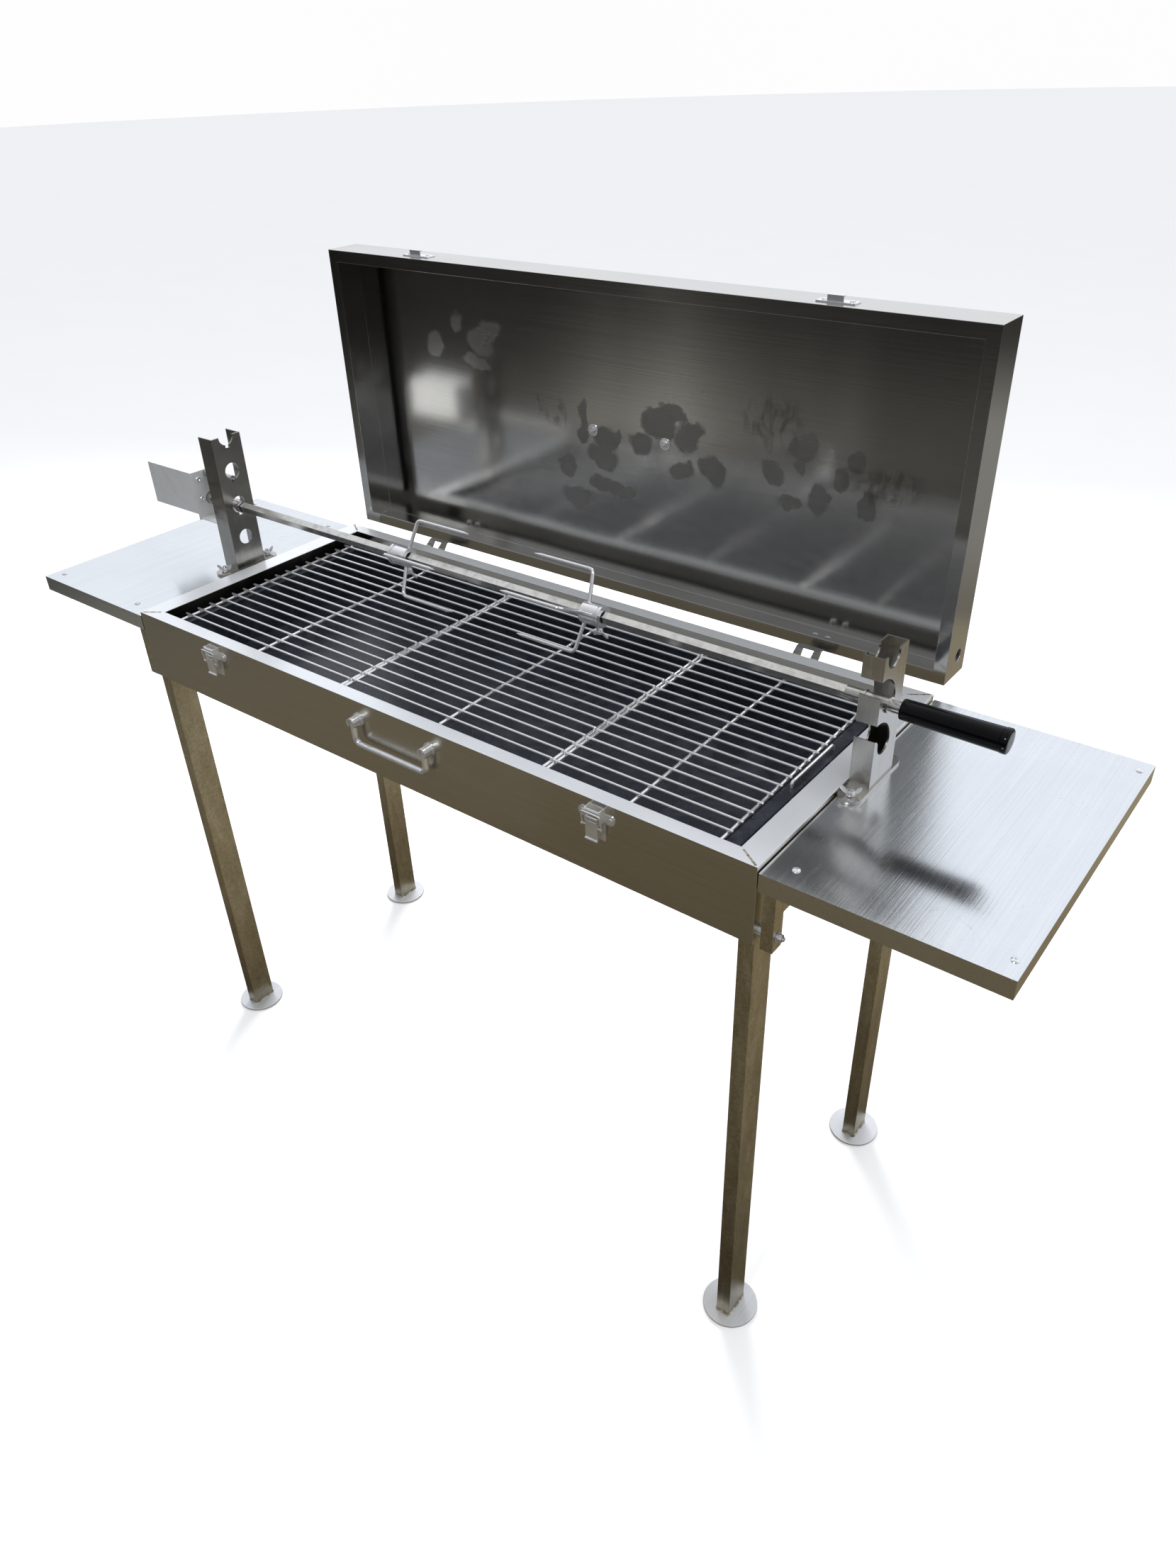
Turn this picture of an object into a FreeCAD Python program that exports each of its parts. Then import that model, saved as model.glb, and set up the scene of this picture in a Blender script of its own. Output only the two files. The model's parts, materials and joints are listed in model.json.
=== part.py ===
import FreeCAD, Part
import math
import os
import re
import Sketcher

# Portable charcoal spit roaster: a shallow firebox on four legs with a hinged lid that stands
# open, a side table at each end, two spit posts, a geared motor and a square spit with two forks.
# Frame: X along the firebox (right end = spit handle), front = -Y, Z up, floor = 0. Millimetres.

V = FreeCAD.Vector
X_AXIS, Y_AXIS, Z_AXIS = V(1, 0, 0), V(0, 1, 0), V(0, 0, 1)

SIZES = [
    # firebox pan
    ("box_len", 1000, "firebox length"), ("box_wid", 404, "firebox width"),
    ("box_dep", 98, "firebox depth"), ("rim_height", 760, "rim above the floor"),
    ("front_y", -244, "front wall of the firebox"), ("sheet", 1.2, "sheet thickness"),
    ("rim_end", 30, "rim flange at the ends"), ("rim_side", 20, "rim flange front and back"),
    # charcoal tray and its ledges
    ("tray_x", 30, "tray flange start from the left end"), ("tray_len", 925, "tray over flanges"),
    ("tray_y", 24, "tray flange from the front wall"), ("tray_wid", 356, "tray over flanges"),
    ("tray_drop", 20.4, "tray flange below the rim"), ("tray_dep", 68, "tray depth"),
    ("tray_rim", 18, "tray flange width"), ("tray_thk", 1, "tray sheet"),
    ("ledge_wid", 38, "ledge under the tray flange"), ("ledge_leg", 20, "ledge weld leg"),
    # legs
    ("leg_x", 19, "leg tube width"), ("leg_y", 38, "leg tube depth"), ("leg_wall", 1.5, "leg wall"),
    ("leg_inset_x", 1, "leg from the end wall"), ("leg_front", 6, "front leg from the front wall"),
    ("foot_dia", 72, "foot disc"), ("foot_thk", 3, "foot disc thickness"),
    ("plug_len", 40, "spigot inside the leg"), ("plug_gap", 0.1, "spigot to tube wall"),
    # side tables
    ("table_len", 250, "side table length"), ("table_drop", 6.3, "table top below the rim"),
    ("apron", 22, "table apron"), ("table_gap", 1.5, "table to firebox"),
    ("bracket_x", 14, "bracket tube width"), ("bracket_y", 18, "bracket tube depth"),
    ("bracket_off", 6, "bracket from the end wall"), ("bracket_in", 4, "bracket from the front wall"),
    ("arm_in", 14, "table arm from the front wall"), ("bolt_drop", 86, "bracket bolt below the rim"),
    ("bracket_len", 76, "bracket upright"), ("bracket_wall", 1.5, "bracket wall"),
    # lid
    ("lid_dep", 55, "lid depth"), ("lid_rim", 16, "lid flange"), ("lid_lip", 8, "lid return lip"),
    ("lid_height", 408.5, "open lid, bottom wall to top wall"), ("pivot_back", 13.75, "behind the back wall"),
    ("pivot_drop", 15.25, "below the rim"), ("hinge_left", -334, "left hinge"), ("hinge_right", 321, "right hinge"),
    ("hinge_half", 17, "half hinge width"), ("knuckle_half", 8, "half centre knuckle"),
    ("knuckle_gap", 0.3, "between knuckles"), ("knuckle_rad", 5.5, "knuckle"), ("hinge_pin", 2, "pin radius"),
    ("pin_play", 0.05, "running fit of a pin"), ("leaf_thk", 2, "hinge leaf"),
    # spit line
    ("spit_y", -40, "spit axis"), ("spit_up", 89.5, "spit axis above the rim"),
    ("spit_turn", 20, "rest angle of the rod"), ("rod_size", 10, "square rod"),
    ("rod_left", -524, "rod end in the coupling"), ("sleeve_rad", 7.5, "sleeve on the rod"),
    ("sleeve_left", 479, "sleeve start"), ("sleeve_len", 49, "sleeve length"), ("ring_rad", 9, "sleeve ring"),
    ("stem_rad", 6.5, "stem"), ("grip_left", 540.5, "handle start"), ("grip_len", 110, "handle length"),
    ("grip_small", 11, "handle radius, inner end"), ("grip_big", 13.2, "handle radius, outer end"),
    # forks
    ("fork_left", -183, "left hub"), ("fork_right", 166, "right hub"), ("hub_len", 28, "hub length"),
    ("hub_rad", 13, "hub"), ("hub_bore", 7.5, "hub bore"), ("prong_reach", 50, "prong off the axis"),
    ("prong_len", 92, "prong from the hub arm"), ("prong_rad", 2.4, "prong wire"), ("screw_rad", 3, "clamp screw"),
    # posts
    ("post_web", -511.2, "web face of the left post"), ("post_thk", 2, "post sheet"),
    ("post_dep", 30, "left post flanges"), ("post_wid", 50, "left post web"), ("post_top", 193, "left post top"),
    ("keyhole", 12, "keyhole radius"), ("key_slot", 3, "keyhole slot half width"),
    ("key_pitch", 50, "hole pitch"), ("key_top", 192, "top keyhole"),
    ("base_thk", 3, "post base plate"), ("base_len", 100, "left base plate"), ("stud_rad", 3, "stud"),
    ("stud_pitch", 80, "left stud pitch"), ("rpost_x", 502, "right post"), ("rpost_wid", 23.5, "right post"),
    ("rpost_front", -62, "right post front wall"), ("rpost_dep", 54, "right post depth"),
    ("rpost_top", 149, "right post top"), ("notch_pitch", 50, "notch pitch"), ("notch_rad", 14, "notch cradle"),
    # motor
    ("motor_len", 105, "motor housing"), ("motor_wid", 55, "housing width"), ("motor_hgt", 62.5, "housing height"),
    ("motor_low", 71, "housing bottom above the rim"), ("motor_face", -580, "housing face"),
    ("spindle_rad", 9, "coupling"), ("socket", 10.6, "square socket"),
    # grill
    ("wire", 1.75, "grill wire radius"), ("cross", 2.2, "cross wire radius"), ("wire_pitch", 20.1, "wire pitch"),
    ("wire_first", 51.5, "first wire from the front wall"), ("wire_drop", 13.85, "wire axis below the rim"),
    ("cross_drop", 17.8, "cross wire axis below the rim"), ("cross_over", 15, "cross wire overhang"),
    # handles
    ("knob_rad", 7, "handle post"), ("knob_len", 14, "handle post length"), ("bail_pitch", 120, "handle pitch"),
    ("bail_rad", 4, "handle wire"), ("bail_drop", 29, "hang of the bar"), ("bail_pin_out", 9, "pin from the wall"),
    ("bail_pin", 1.5, "handle pin"), ("bail_slot", 4.4, "slot half width"), ("bail_low", 25, "below the rim"),
    ("lid_knob_up", 201, "lid handle above the rim"), ("bail_front_x", 3.7, "front handle centre"),
    ("bail_lid_x", -2, "lid handle centre"),
    # latches
    ("latch_left", -335, "left latch"), ("latch_right", 308, "right latch"),
]

doc = FreeCAD.newDocument("spit_roaster")
dims = doc.addObject("Spreadsheet::Sheet", "Dims")
for row, (alias, size, note) in enumerate(SIZES, 1):
    dims.set("A%d" % row, alias)
    dims.set("B%d" % row, str(size))
    dims.set("C%d" % row, note)
    dims.setAlias("B%d" % row, alias)
doc.recompute()
S = {alias: float(getattr(dims, alias)) for alias, _, _ in SIZES}
PARTS = []


# ---------------------------------------------------------------- helpers
def link(formula):
    """Turn a formula over sheet names into a FreeCAD expression."""
    return re.sub(r"[a-z_]{3,}", lambda m: "Dims." + m.group(0) if m.group(0) in S else m.group(0), str(formula))


def number(formula):
    """Current value of a formula over the sheet."""
    got = dims.evalExpression(link(formula))
    return float(getattr(got, "Value", got))


def bind(obj, prop, formula):
    obj.setExpression(prop, link(formula))


def place(obj, x=0, y=0, z=0, turn=None):
    """Bind a placement to the sheet; turn = (axis, formula in degrees)."""
    if turn:
        obj.Placement = FreeCAD.Placement(V(), FreeCAD.Rotation(turn[0], number(turn[1])))
        bind(obj, "Placement.Rotation.Angle", "(%s) * 1 deg" % turn[1])
    for name, formula in zip("xyz", (x, y, z)):
        bind(obj, "Placement.Base." + name, "(%s) * 1 mm" % formula)
    return obj


def export(obj, label):
    obj.Label = label
    PARTS.append(obj)
    return obj


def box(name, dx, dy, dz, x=0, y=0, z=0):
    obj = doc.addObject("Part::Box", name)
    for prop, formula in (("Length", dx), ("Width", dy), ("Height", dz)):
        bind(obj, prop, formula)
    return place(obj, x, y, z)


def rod(name, radius, length, x=0, y=0, z=0, axis=Z_AXIS):
    """Cylinder starting at a point and running along +axis."""
    obj = doc.addObject("Part::Cylinder", name)
    bind(obj, "Radius", radius)
    bind(obj, "Height", length)
    obj.Placement = FreeCAD.Placement(V(), FreeCAD.Rotation(Z_AXIS, axis))
    for key, formula in zip("xyz", (x, y, z)):
        bind(obj, "Placement.Base." + key, "(%s) * 1 mm" % formula)
    return obj


def fuse(name, shapes):
    obj = doc.addObject("Part::MultiFuse", name)
    obj.Shapes = shapes
    return obj


def cut(name, base, tools):
    obj = doc.addObject("Part::Cut", name)
    obj.Base = base
    obj.Tool = tools[0] if len(tools) == 1 else fuse(name + "_tools", tools)
    return obj


def group(name, members):
    obj = doc.addObject("Part::Compound", name)
    obj.Links = members
    return obj


def new_body(name):
    return doc.addObject("PartDesign::Body", name)


def sketch(body, role, name, lift="0"):
    plane = [feat for feat in body.Origin.OriginFeatures if feat.Role == role][0]
    sk = body.newObject("Sketcher::SketchObject", name)
    sk.AttachmentSupport = (plane, [""])
    sk.MapMode = "FlatFace"
    bind(sk, "AttachmentOffset.Base.z", "(%s) * 1 mm" % lift)
    return sk


def pin_point(sk, geo, pos, x, y):
    """Hold one sketch point at sheet-driven coordinates."""
    for kind, axis, formula in (("DistanceX", -2, x), ("DistanceY", -1, y)):
        if abs(number(formula)) < 1e-9:
            sk.addConstraint(Sketcher.Constraint("PointOnObject", geo, pos, axis))
        else:
            index = sk.addConstraint(Sketcher.Constraint(kind, -1, 1, geo, pos, number(formula)))
            bind(sk, "Constraints[%d]" % index, formula)


def polygon(sk, corners):
    """Closed outline through corners given as sheet formulas."""
    first, count = sk.GeometryCount, len(corners)
    flat = [V(number(x), number(y), 0) for x, y in corners]
    for i in range(count):
        sk.addGeometry(Part.LineSegment(flat[i], flat[(i + 1) % count]), False)
    for i in range(count):
        sk.addConstraint(Sketcher.Constraint("Coincident", first + i, 2, first + (i + 1) % count, 1))
        pin_point(sk, first + i, 1, *corners[i])


def rectangle(sk, x0, y0, x1, y1):
    polygon(sk, [(x0, y0), (x1, y0), (x1, y1), (x0, y1)])


def circle(sk, x, y, radius):
    geo = sk.addGeometry(Part.Circle(V(number(x), number(y), 0), Z_AXIS, number(radius)), False)
    index = sk.addConstraint(Sketcher.Constraint("Radius", geo, number(radius)))
    bind(sk, "Constraints[%d]" % index, radius)
    pin_point(sk, geo, 3, x, y)


def pad(body, sk, length, name):
    feat = body.newObject("PartDesign::Pad", name)
    feat.Profile = sk
    bind(feat, "Length", length)
    sk.Visibility = False
    doc.recompute()
    return feat


def pocket(body, sk, length, name, reverse=False):
    before = body.Shape.Volume
    feat = body.newObject("PartDesign::Pocket", name)
    feat.Profile = sk
    feat.Reversed = reverse
    bind(feat, "Length", length)
    sk.Visibility = False
    doc.recompute()
    if not body.Shape.Volume < before - 1e-6:
        raise RuntimeError("pocket %s removed nothing" % name)
    return feat


def revolve(body, sk, name):
    """Full turn about the sketch's own horizontal axis."""
    feat = body.newObject("PartDesign::Revolution", name)
    feat.Profile = sk
    feat.ReferenceAxis = (sk, ["H_Axis"])
    feat.Angle = 360
    sk.Visibility = False
    doc.recompute()
    return feat


def pipe(points, radius, bend=0.0):
    """Round wire through points with rounded corners; returns a solid."""
    edges, start = [], points[0]
    for i in range(1, len(points) - 1):
        before, after = (points[i - 1] - points[i]), (points[i + 1] - points[i])
        before.normalize()
        after.normalize()
        turn = math.pi - before.getAngle(after)
        tangent = bend * math.tan(turn / 2)
        enter, leave = points[i] + before * tangent, points[i] + after * tangent
        bisector = before + after
        bisector.normalize()
        middle = points[i] + bisector * (bend / math.cos(turn / 2) - bend)
        edges += [Part.makeLine(start, enter), Part.Arc(enter, middle, leave).toShape()]
        start = leave
    edges.append(Part.makeLine(start, points[-1]))
    spine = Part.Wire(edges)
    direction = points[1] - points[0]
    profile = Part.Wire(Part.makeCircle(radius, points[0], direction))
    return spine.makePipeShell([profile], True, False)


def solid_of(shape):
    """The single cleaned solid of a fused shape."""
    shape = shape.removeSplitter()
    return shape.Solids[0] if len(shape.Solids) == 1 else shape


def feature(label, shape, x=0, y=0, z=0, turn=None):
    obj = doc.addObject("Part::Feature", label)
    obj.Shape = shape
    place(obj, x, y, z, turn)
    return export(obj, label)


# ---------------------------------------------------------------- firebox, ledges, tray
def make_pan(label, length, width, depth, thk, flange_x, flange_y):
    """Closed pan, open upward, with an inward flange; local origin = top centre of the front wall."""
    body = new_body(label)
    outline = sketch(body, "XY_Plane", label + "_outline", "-(%s)" % depth)
    rectangle(outline, "-(%s)/2" % length, "0", "(%s)/2" % length, width)
    pad(body, outline, depth, label + "_block")
    cavity = sketch(body, "XY_Plane", label + "_cavity_plan", "-(%s)" % thk)
    rectangle(cavity, "-(%s)/2 + %s" % (length, thk), thk, "(%s)/2 - %s" % (length, thk), "(%s) - %s" % (width, thk))
    pocket(body, cavity, "(%s) - 2*%s" % (depth, thk), label + "_cavity")
    mouth = sketch(body, "XY_Plane", label + "_mouth_plan")
    rectangle(mouth, "-(%s)/2 + %s" % (length, flange_x), flange_y,
              "(%s)/2 - %s" % (length, flange_x), "(%s) - %s" % (width, flange_y))
    pocket(body, mouth, "2*%s" % thk, label + "_mouth")
    return body


firebox = make_pan("firebox", "box_len", "box_wid", "box_dep", "sheet", "rim_end", "rim_side")
export(place(firebox, 0, "front_y", "rim_height"), "firebox")


def make_ledges():
    """Two angle strips welded inside the long walls that carry the tray flange."""
    strips = []
    long = "box_len - 2*sheet - 2*rim_end"
    low = "rim_height - tray_drop - tray_thk"
    for side, y_shelf, y_leg in (("front", "front_y + sheet", "front_y + sheet"),
                                 ("back", "front_y + box_wid - sheet - ledge_wid", "front_y + box_wid - 2*sheet")):
        shelf = box("ledge_shelf_" + side, long, "ledge_wid", "sheet", "-(%s)/2" % long, y_shelf, low + " - sheet")
        leg = box("ledge_leg_" + side, long, "sheet", "ledge_leg", "-(%s)/2" % long, y_leg,
                  low + " - ledge_leg")
        strips.append(fuse("ledge_" + side, [shelf, leg]))
    return group("tray_ledges_set", strips)


export(make_ledges(), "tray_ledges")


TRAY_HOLES = ("tray_wid/2 - 37.5", "tray_wid/2 + 56.5")


def make_tray():
    """Open charcoal pan hung by an outward flange, with two handle holes in the right flange."""
    body = new_body("charcoal_tray")
    flange = sketch(body, "XY_Plane", "tray_flange_plan", "-tray_thk")
    rectangle(flange, "0", "0", "tray_len", "tray_wid")
    pad(body, flange, "tray_thk", "tray_flange")
    tub = sketch(body, "XY_Plane", "tray_tub_plan", "-tray_dep")
    rectangle(tub, "tray_rim - tray_thk", "tray_rim - tray_thk",
              "tray_len - tray_rim + tray_thk", "tray_wid - tray_rim + tray_thk")
    pad(body, tub, "tray_dep - tray_thk/2", "tray_tub")
    hollow = sketch(body, "XY_Plane", "tray_hollow_plan", "1")
    rectangle(hollow, "tray_rim", "tray_rim", "tray_len - tray_rim", "tray_wid - tray_rim")
    pocket(body, hollow, "tray_dep - tray_thk + 1", "tray_hollow")
    holes = sketch(body, "XY_Plane", "tray_handle_holes_plan", "1")
    for y in TRAY_HOLES:
        circle(holes, "tray_len - 9", y, "2.4")
    pocket(body, holes, "3", "tray_handle_holes")
    return place(body, "-box_len/2 + tray_x", "front_y + tray_y", "rim_height - tray_drop")


export(make_tray(), "charcoal_tray")


def make_tray_handle():
    """Drop-through wire handle: low arch above the flange, tails with upset ends below it."""
    top, low = 6.5, -26.0
    span = number(TRAY_HOLES[1]) - number(TRAY_HOLES[0])
    wire = pipe([V(0, 0, low), V(0, 0, top), V(0, span, top), V(0, span, low)], 2.0, 4.0)
    stops = [Part.makeCylinder(3.4, 2, V(0, y, low - 1.5)) for y in (0, span)]
    return solid_of(wire.multiFuse(stops))


feature("tray_handle", make_tray_handle(), "-box_len/2 + tray_x + tray_len - 9",
        "front_y + tray_y + " + TRAY_HOLES[0], "rim_height - tray_drop")


# ---------------------------------------------------------------- grill panels
def make_grill(start, end, crosses, shift):
    """Spot-welded wire panel: long wires lie on the cross wires; X from the firebox's left end."""
    first = S["wire_first"] + shift
    lines = [first + S["wire_pitch"] * i for i in range(16)]
    left = -S["box_len"] / 2
    wires = [Part.makeCylinder(S["wire"], end - start, V(left + start, S["front_y"] + y, -S["wire_drop"]), X_AXIS)
             for y in lines]
    span = lines[-1] - lines[0] + 2 * S["cross_over"]
    bars = [Part.makeCylinder(S["cross"], span,
                              V(left + x, S["front_y"] + lines[0] - S["cross_over"], -S["cross_drop"]), Y_AXIS)
            for x in crosses]
    return Part.makeCompound(bars + wires)


for label, start, end, crosses, shift in (
        ("grill_left", 31, 374.2, (36, 208, 372), 0.0),
        ("grill_mid", 375.8, 705.2, (378, 543, 703), 2.0),
        ("grill_right", 706.8, 942, (709, 824, 936), 0.5)):
    feature(label, make_grill(start, end, crosses, shift), 0, 0, "rim_height")


# ---------------------------------------------------------------- legs and feet
LEG_PLACES = {
    "front_left": ("-box_len/2 + leg_inset_x", "front_y + leg_front"),
    "front_right": ("box_len/2 - leg_inset_x - leg_x", "front_y + leg_front"),
    "back_left": ("-box_len/2 + leg_inset_x", "front_y + box_wid - leg_y"),
    "back_right": ("box_len/2 - leg_inset_x - leg_x", "front_y + box_wid - leg_y"),
}
leg_plugs = []
for corner, (x, y) in LEG_PLACES.items():
    tube = new_body("leg_" + corner)
    ring = sketch(tube, "XY_Plane", "leg_section_" + corner)
    rectangle(ring, "0", "0", "leg_x", "leg_y")
    rectangle(ring, "leg_wall", "leg_wall", "leg_x - leg_wall", "leg_y - leg_wall")
    pad(tube, ring, "rim_height - box_dep - foot_thk", "leg_tube_" + corner)
    export(place(tube, x, y, "foot_thk"), "leg_" + corner)
    foot = new_body("foot_" + corner)
    disc = sketch(foot, "XY_Plane", "foot_outline_" + corner)
    circle(disc, "0", "0", "foot_dia/2")
    pad(foot, disc, "foot_thk", "foot_disc_" + corner)
    export(place(foot, x + " + leg_x/2", y + " + leg_y/2", 0), "foot_" + corner)
    leg_plugs.append(box("plug_" + corner, "leg_x - 2*leg_wall - 2*plug_gap", "leg_y - 2*leg_wall - 2*plug_gap",
                         "plug_len", x + " + leg_wall + plug_gap", y + " + leg_wall + plug_gap",
                         "rim_height - box_dep - plug_len"))
export(group("leg_plugs_set", leg_plugs), "leg_plugs")


# ---------------------------------------------------------------- side tables
TABLE_SCREWS = {
    "left": ((42, 22), (232.5, 22), (42, 384), (232.5, 384)),
    "right": ((28, 25), (239, 24), (28, 384), (239, 384)),
}
POST_STUDS = {
    "left": ("-post_web - box_len/2 + 12", ("spit_y - stud_pitch/2", "spit_y + stud_pitch/2")),
    "right": ("rpost_x + rpost_wid/2 - box_len/2", ("spit_y - 40", "spit_y + 45")),
}


def make_table(side):
    """Inverted sheet tray: flat top, short apron all round, holes for screws and post studs."""
    body = new_body("table_" + side)
    top = sketch(body, "XY_Plane", "table_plan_" + side, "-apron")
    rectangle(top, "0", "0", "table_len - table_gap", "box_wid")
    pad(body, top, "apron", "table_block_" + side)
    under = sketch(body, "XY_Plane", "table_under_plan_" + side, "-apron")
    rectangle(under, "sheet", "sheet", "table_len - table_gap - sheet", "box_wid - sheet")
    pocket(body, under, "apron - sheet", "table_under_" + side, reverse=True)
    local = "table_len - (%s)" if side == "left" else "(%s) - table_gap"
    holes = sketch(body, "XY_Plane", "table_holes_plan_" + side, "1")
    for off, y in TABLE_SCREWS[side]:
        circle(holes, local % off, str(y), "2.4")
    off, rows = POST_STUDS[side]
    for y in rows:
        circle(holes, local % off, "(%s) - front_y" % y, "stud_rad + 0.3")
    pocket(body, holes, "sheet + 2", "table_holes_" + side)
    x = "-box_len/2 - table_len" if side == "left" else "box_len/2 + table_gap"
    return place(body, x, "front_y", "rim_height - table_drop")


def make_table_frame(side):
    """Two L brackets of rectangular tube joined by a cross rail, standing off the firebox end."""
    sign = "-1" if side == "left" else "1"
    inner = "%s * (box_len/2 + bracket_off)" % sign
    x = inner + " - bracket_x" if side == "left" else inner
    arm_x = "-box_len/2 - table_len + 6" if side == "left" else "box_len/2 + bracket_off"
    low = "rim_height - table_drop - apron - bracket_len + 2"
    arm_z = "rim_height - table_drop - sheet - bracket_y + 4"
    pieces, holes = [], []
    for row, y, arm_y in (
            ("front", "front_y + bracket_in", "front_y + arm_in"),
            ("back", "front_y + box_wid - bracket_in - bracket_y", "front_y + box_wid - arm_in - bracket_y")):
        upright = box("upright_%s_%s" % (row, side), "bracket_x", "bracket_y", "bracket_len + apron - sheet - 2",
                      x, y, low)
        bore = box("upright_bore_%s_%s" % (row, side), "bracket_x - 2*bracket_wall", "bracket_y - 2*bracket_wall",
                   "bracket_len + apron", x + " + bracket_wall", y + " + bracket_wall", low + " - 1")
        pieces.append(cut("upright_tube_%s_%s" % (row, side), upright, [bore]))
        pieces.append(box("arm_%s_%s" % (row, side), "table_len - bracket_off - 6", "bracket_y", "bracket_y - 4",
                          arm_x, arm_y, arm_z))
        holes.append(rod("bolt_hole_%s_%s" % (row, side), "2.8", "bracket_x + 8", x + " - 4", y + " + bracket_y/2",
                         "rim_height - bolt_drop", X_AXIS))
    pieces.append(box("cross_rail_" + side, "bracket_x", "box_wid - 2*bracket_in - 2*bracket_y + 2", "bracket_y",
                      x, "front_y + bracket_in + bracket_y - 1", "rim_height - table_drop - apron - bracket_y"))
    for i, (off, y) in enumerate(TABLE_SCREWS[side]):
        holes.append(rod("arm_hole_%s%d" % (side, i), "2.3", "30", "%s * (box_len/2 + %s)" % (sign, off),
                         "front_y + %s" % y, "rim_height - table_drop - 25"))
    return cut("table_frame_cut_" + side, fuse("table_frame_body_" + side, pieces), holes)


screws, bolts = [], []
for side, sign in (("left", "-1"), ("right", "1")):
    export(make_table(side), "table_" + side)
    export(make_table_frame(side), "table_frame_" + side)
    for i, (off, y) in enumerate(TABLE_SCREWS[side]):
        px, py = "%s * (box_len/2 + %s)" % (sign, off), "front_y + %s" % y
        head = rod("screw_head_%s%d" % (side, i), "4", "1.8", px, py, "rim_height - table_drop")
        shank = rod("screw_shank_%s%d" % (side, i), "2", "12", px, py, "rim_height - table_drop - 11.8")
        screws.append(fuse("table_screw_%s%d" % (side, i), [head, shank]))
    axis = V(1 if side == "right" else -1, 0, 0)
    for i, y in enumerate(("bracket_in + bracket_y/2", "box_wid - bracket_in - bracket_y/2")):
        wall, outer = "%s * box_len/2" % sign, "%s * (box_len/2 + bracket_off + bracket_x)" % sign
        z, py = "rim_height - bolt_drop", "front_y + " + y
        collar = rod("bolt_collar_%s%d" % (side, i), "7", "bracket_off", wall, py, z, axis)
        shank = rod("bolt_shank_%s%d" % (side, i), "2.5", "bracket_x + bracket_off + 8", wall, py, z, axis)
        washer = rod("bolt_washer_%s%d" % (side, i), "6", "1.2", outer, py, z, axis)
        nut = rod("bolt_nut_%s%d" % (side, i), "4.6", "5", outer, py, z, axis)
        bolts.append(fuse("bracket_bolt_%s%d" % (side, i), [collar, shank, washer, nut]))
for name, tools in (("table_screws", screws), ("bracket_bolts", bolts)):
    export(group(name + "_set", tools), name)


# ---------------------------------------------------------------- lid
def make_lid():
    """Open lid standing on edge: local x along the hinge, y into the lid from the rim, z up."""
    body = new_body("lid_shell")
    shell = sketch(body, "XZ_Plane", "lid_outline", "-lid_dep")
    rectangle(shell, "-box_len/2", "0", "box_len/2", "lid_height")
    pad(body, shell, "lid_dep", "lid_block")
    cavity = sketch(body, "XZ_Plane", "lid_cavity_outline", "-lid_dep + sheet")
    rectangle(cavity, "-box_len/2 + sheet", "sheet", "box_len/2 - sheet", "lid_height - sheet")
    pocket(body, cavity, "lid_dep - 2*sheet", "lid_cavity", reverse=True)
    mouth = sketch(body, "XZ_Plane", "lid_mouth_outline", "1")
    rectangle(mouth, "-box_len/2 + lid_rim", "lid_rim", "box_len/2 - lid_rim", "lid_height - lid_rim")
    pocket(body, mouth, "sheet + 2", "lid_mouth")
    lip = sketch(body, "XZ_Plane", "lid_lip_outline", "-lid_lip")
    rectangle(lip, "-box_len/2 + lid_rim - sheet", "lid_rim - sheet",
              "box_len/2 - lid_rim + sheet", "lid_height - lid_rim + sheet")
    rectangle(lip, "-box_len/2 + lid_rim", "lid_rim", "box_len/2 - lid_rim", "lid_height - lid_rim")
    pad(body, lip, "lid_lip - sheet/2", "lid_return_lip")
    vent = sketch(body, "YZ_Plane", "lid_vent_outline", "box_len/2 - sheet - 1")
    circle(vent, "32.7", "27", "8")
    pocket(body, vent, "sheet + 2", "lid_vent", reverse=True)
    return body


lid = make_lid()
LID_Y = "front_y + box_wid + pivot_back + pivot_drop"
LID_Z = "rim_height - 1.5"
export(place(lid, 0, LID_Y, LID_Z), "lid_shell")

keepers = []
for i, x in enumerate(("latch_left", "latch_right")):
    plate = box("keeper_plate%d" % i, "48", "15", "1.5", x + " - 24", LID_Y + " + 13", LID_Z + " + lid_height")
    hook = box("keeper_hook%d" % i, "20", "1.5", "8.5", x + " - 10", LID_Y + " + 13", LID_Z + " + lid_height")
    curl = box("keeper_curl%d" % i, "20", "4", "1.5", x + " - 10", LID_Y + " + 13", LID_Z + " + lid_height + 7")
    rivets = [rod("keeper_rivet%d%s" % (i, tag), "3.2", "1.4", "%s + %d" % (x, dx), LID_Y + " + 21",
                  LID_Z + " + lid_height + 1.3") for tag, dx in (("a", -17), ("b", 17))]
    keepers.append(fuse("keeper%d" % i, [plate, hook, curl] + rivets))
export(group("lid_keepers_set", keepers), "lid_keepers")


# ---------------------------------------------------------------- hinges (pivot line behind the back wall)
PIVOT_Y, PIVOT_Z = "front_y + box_wid + pivot_back", "rim_height - pivot_drop"


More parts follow.
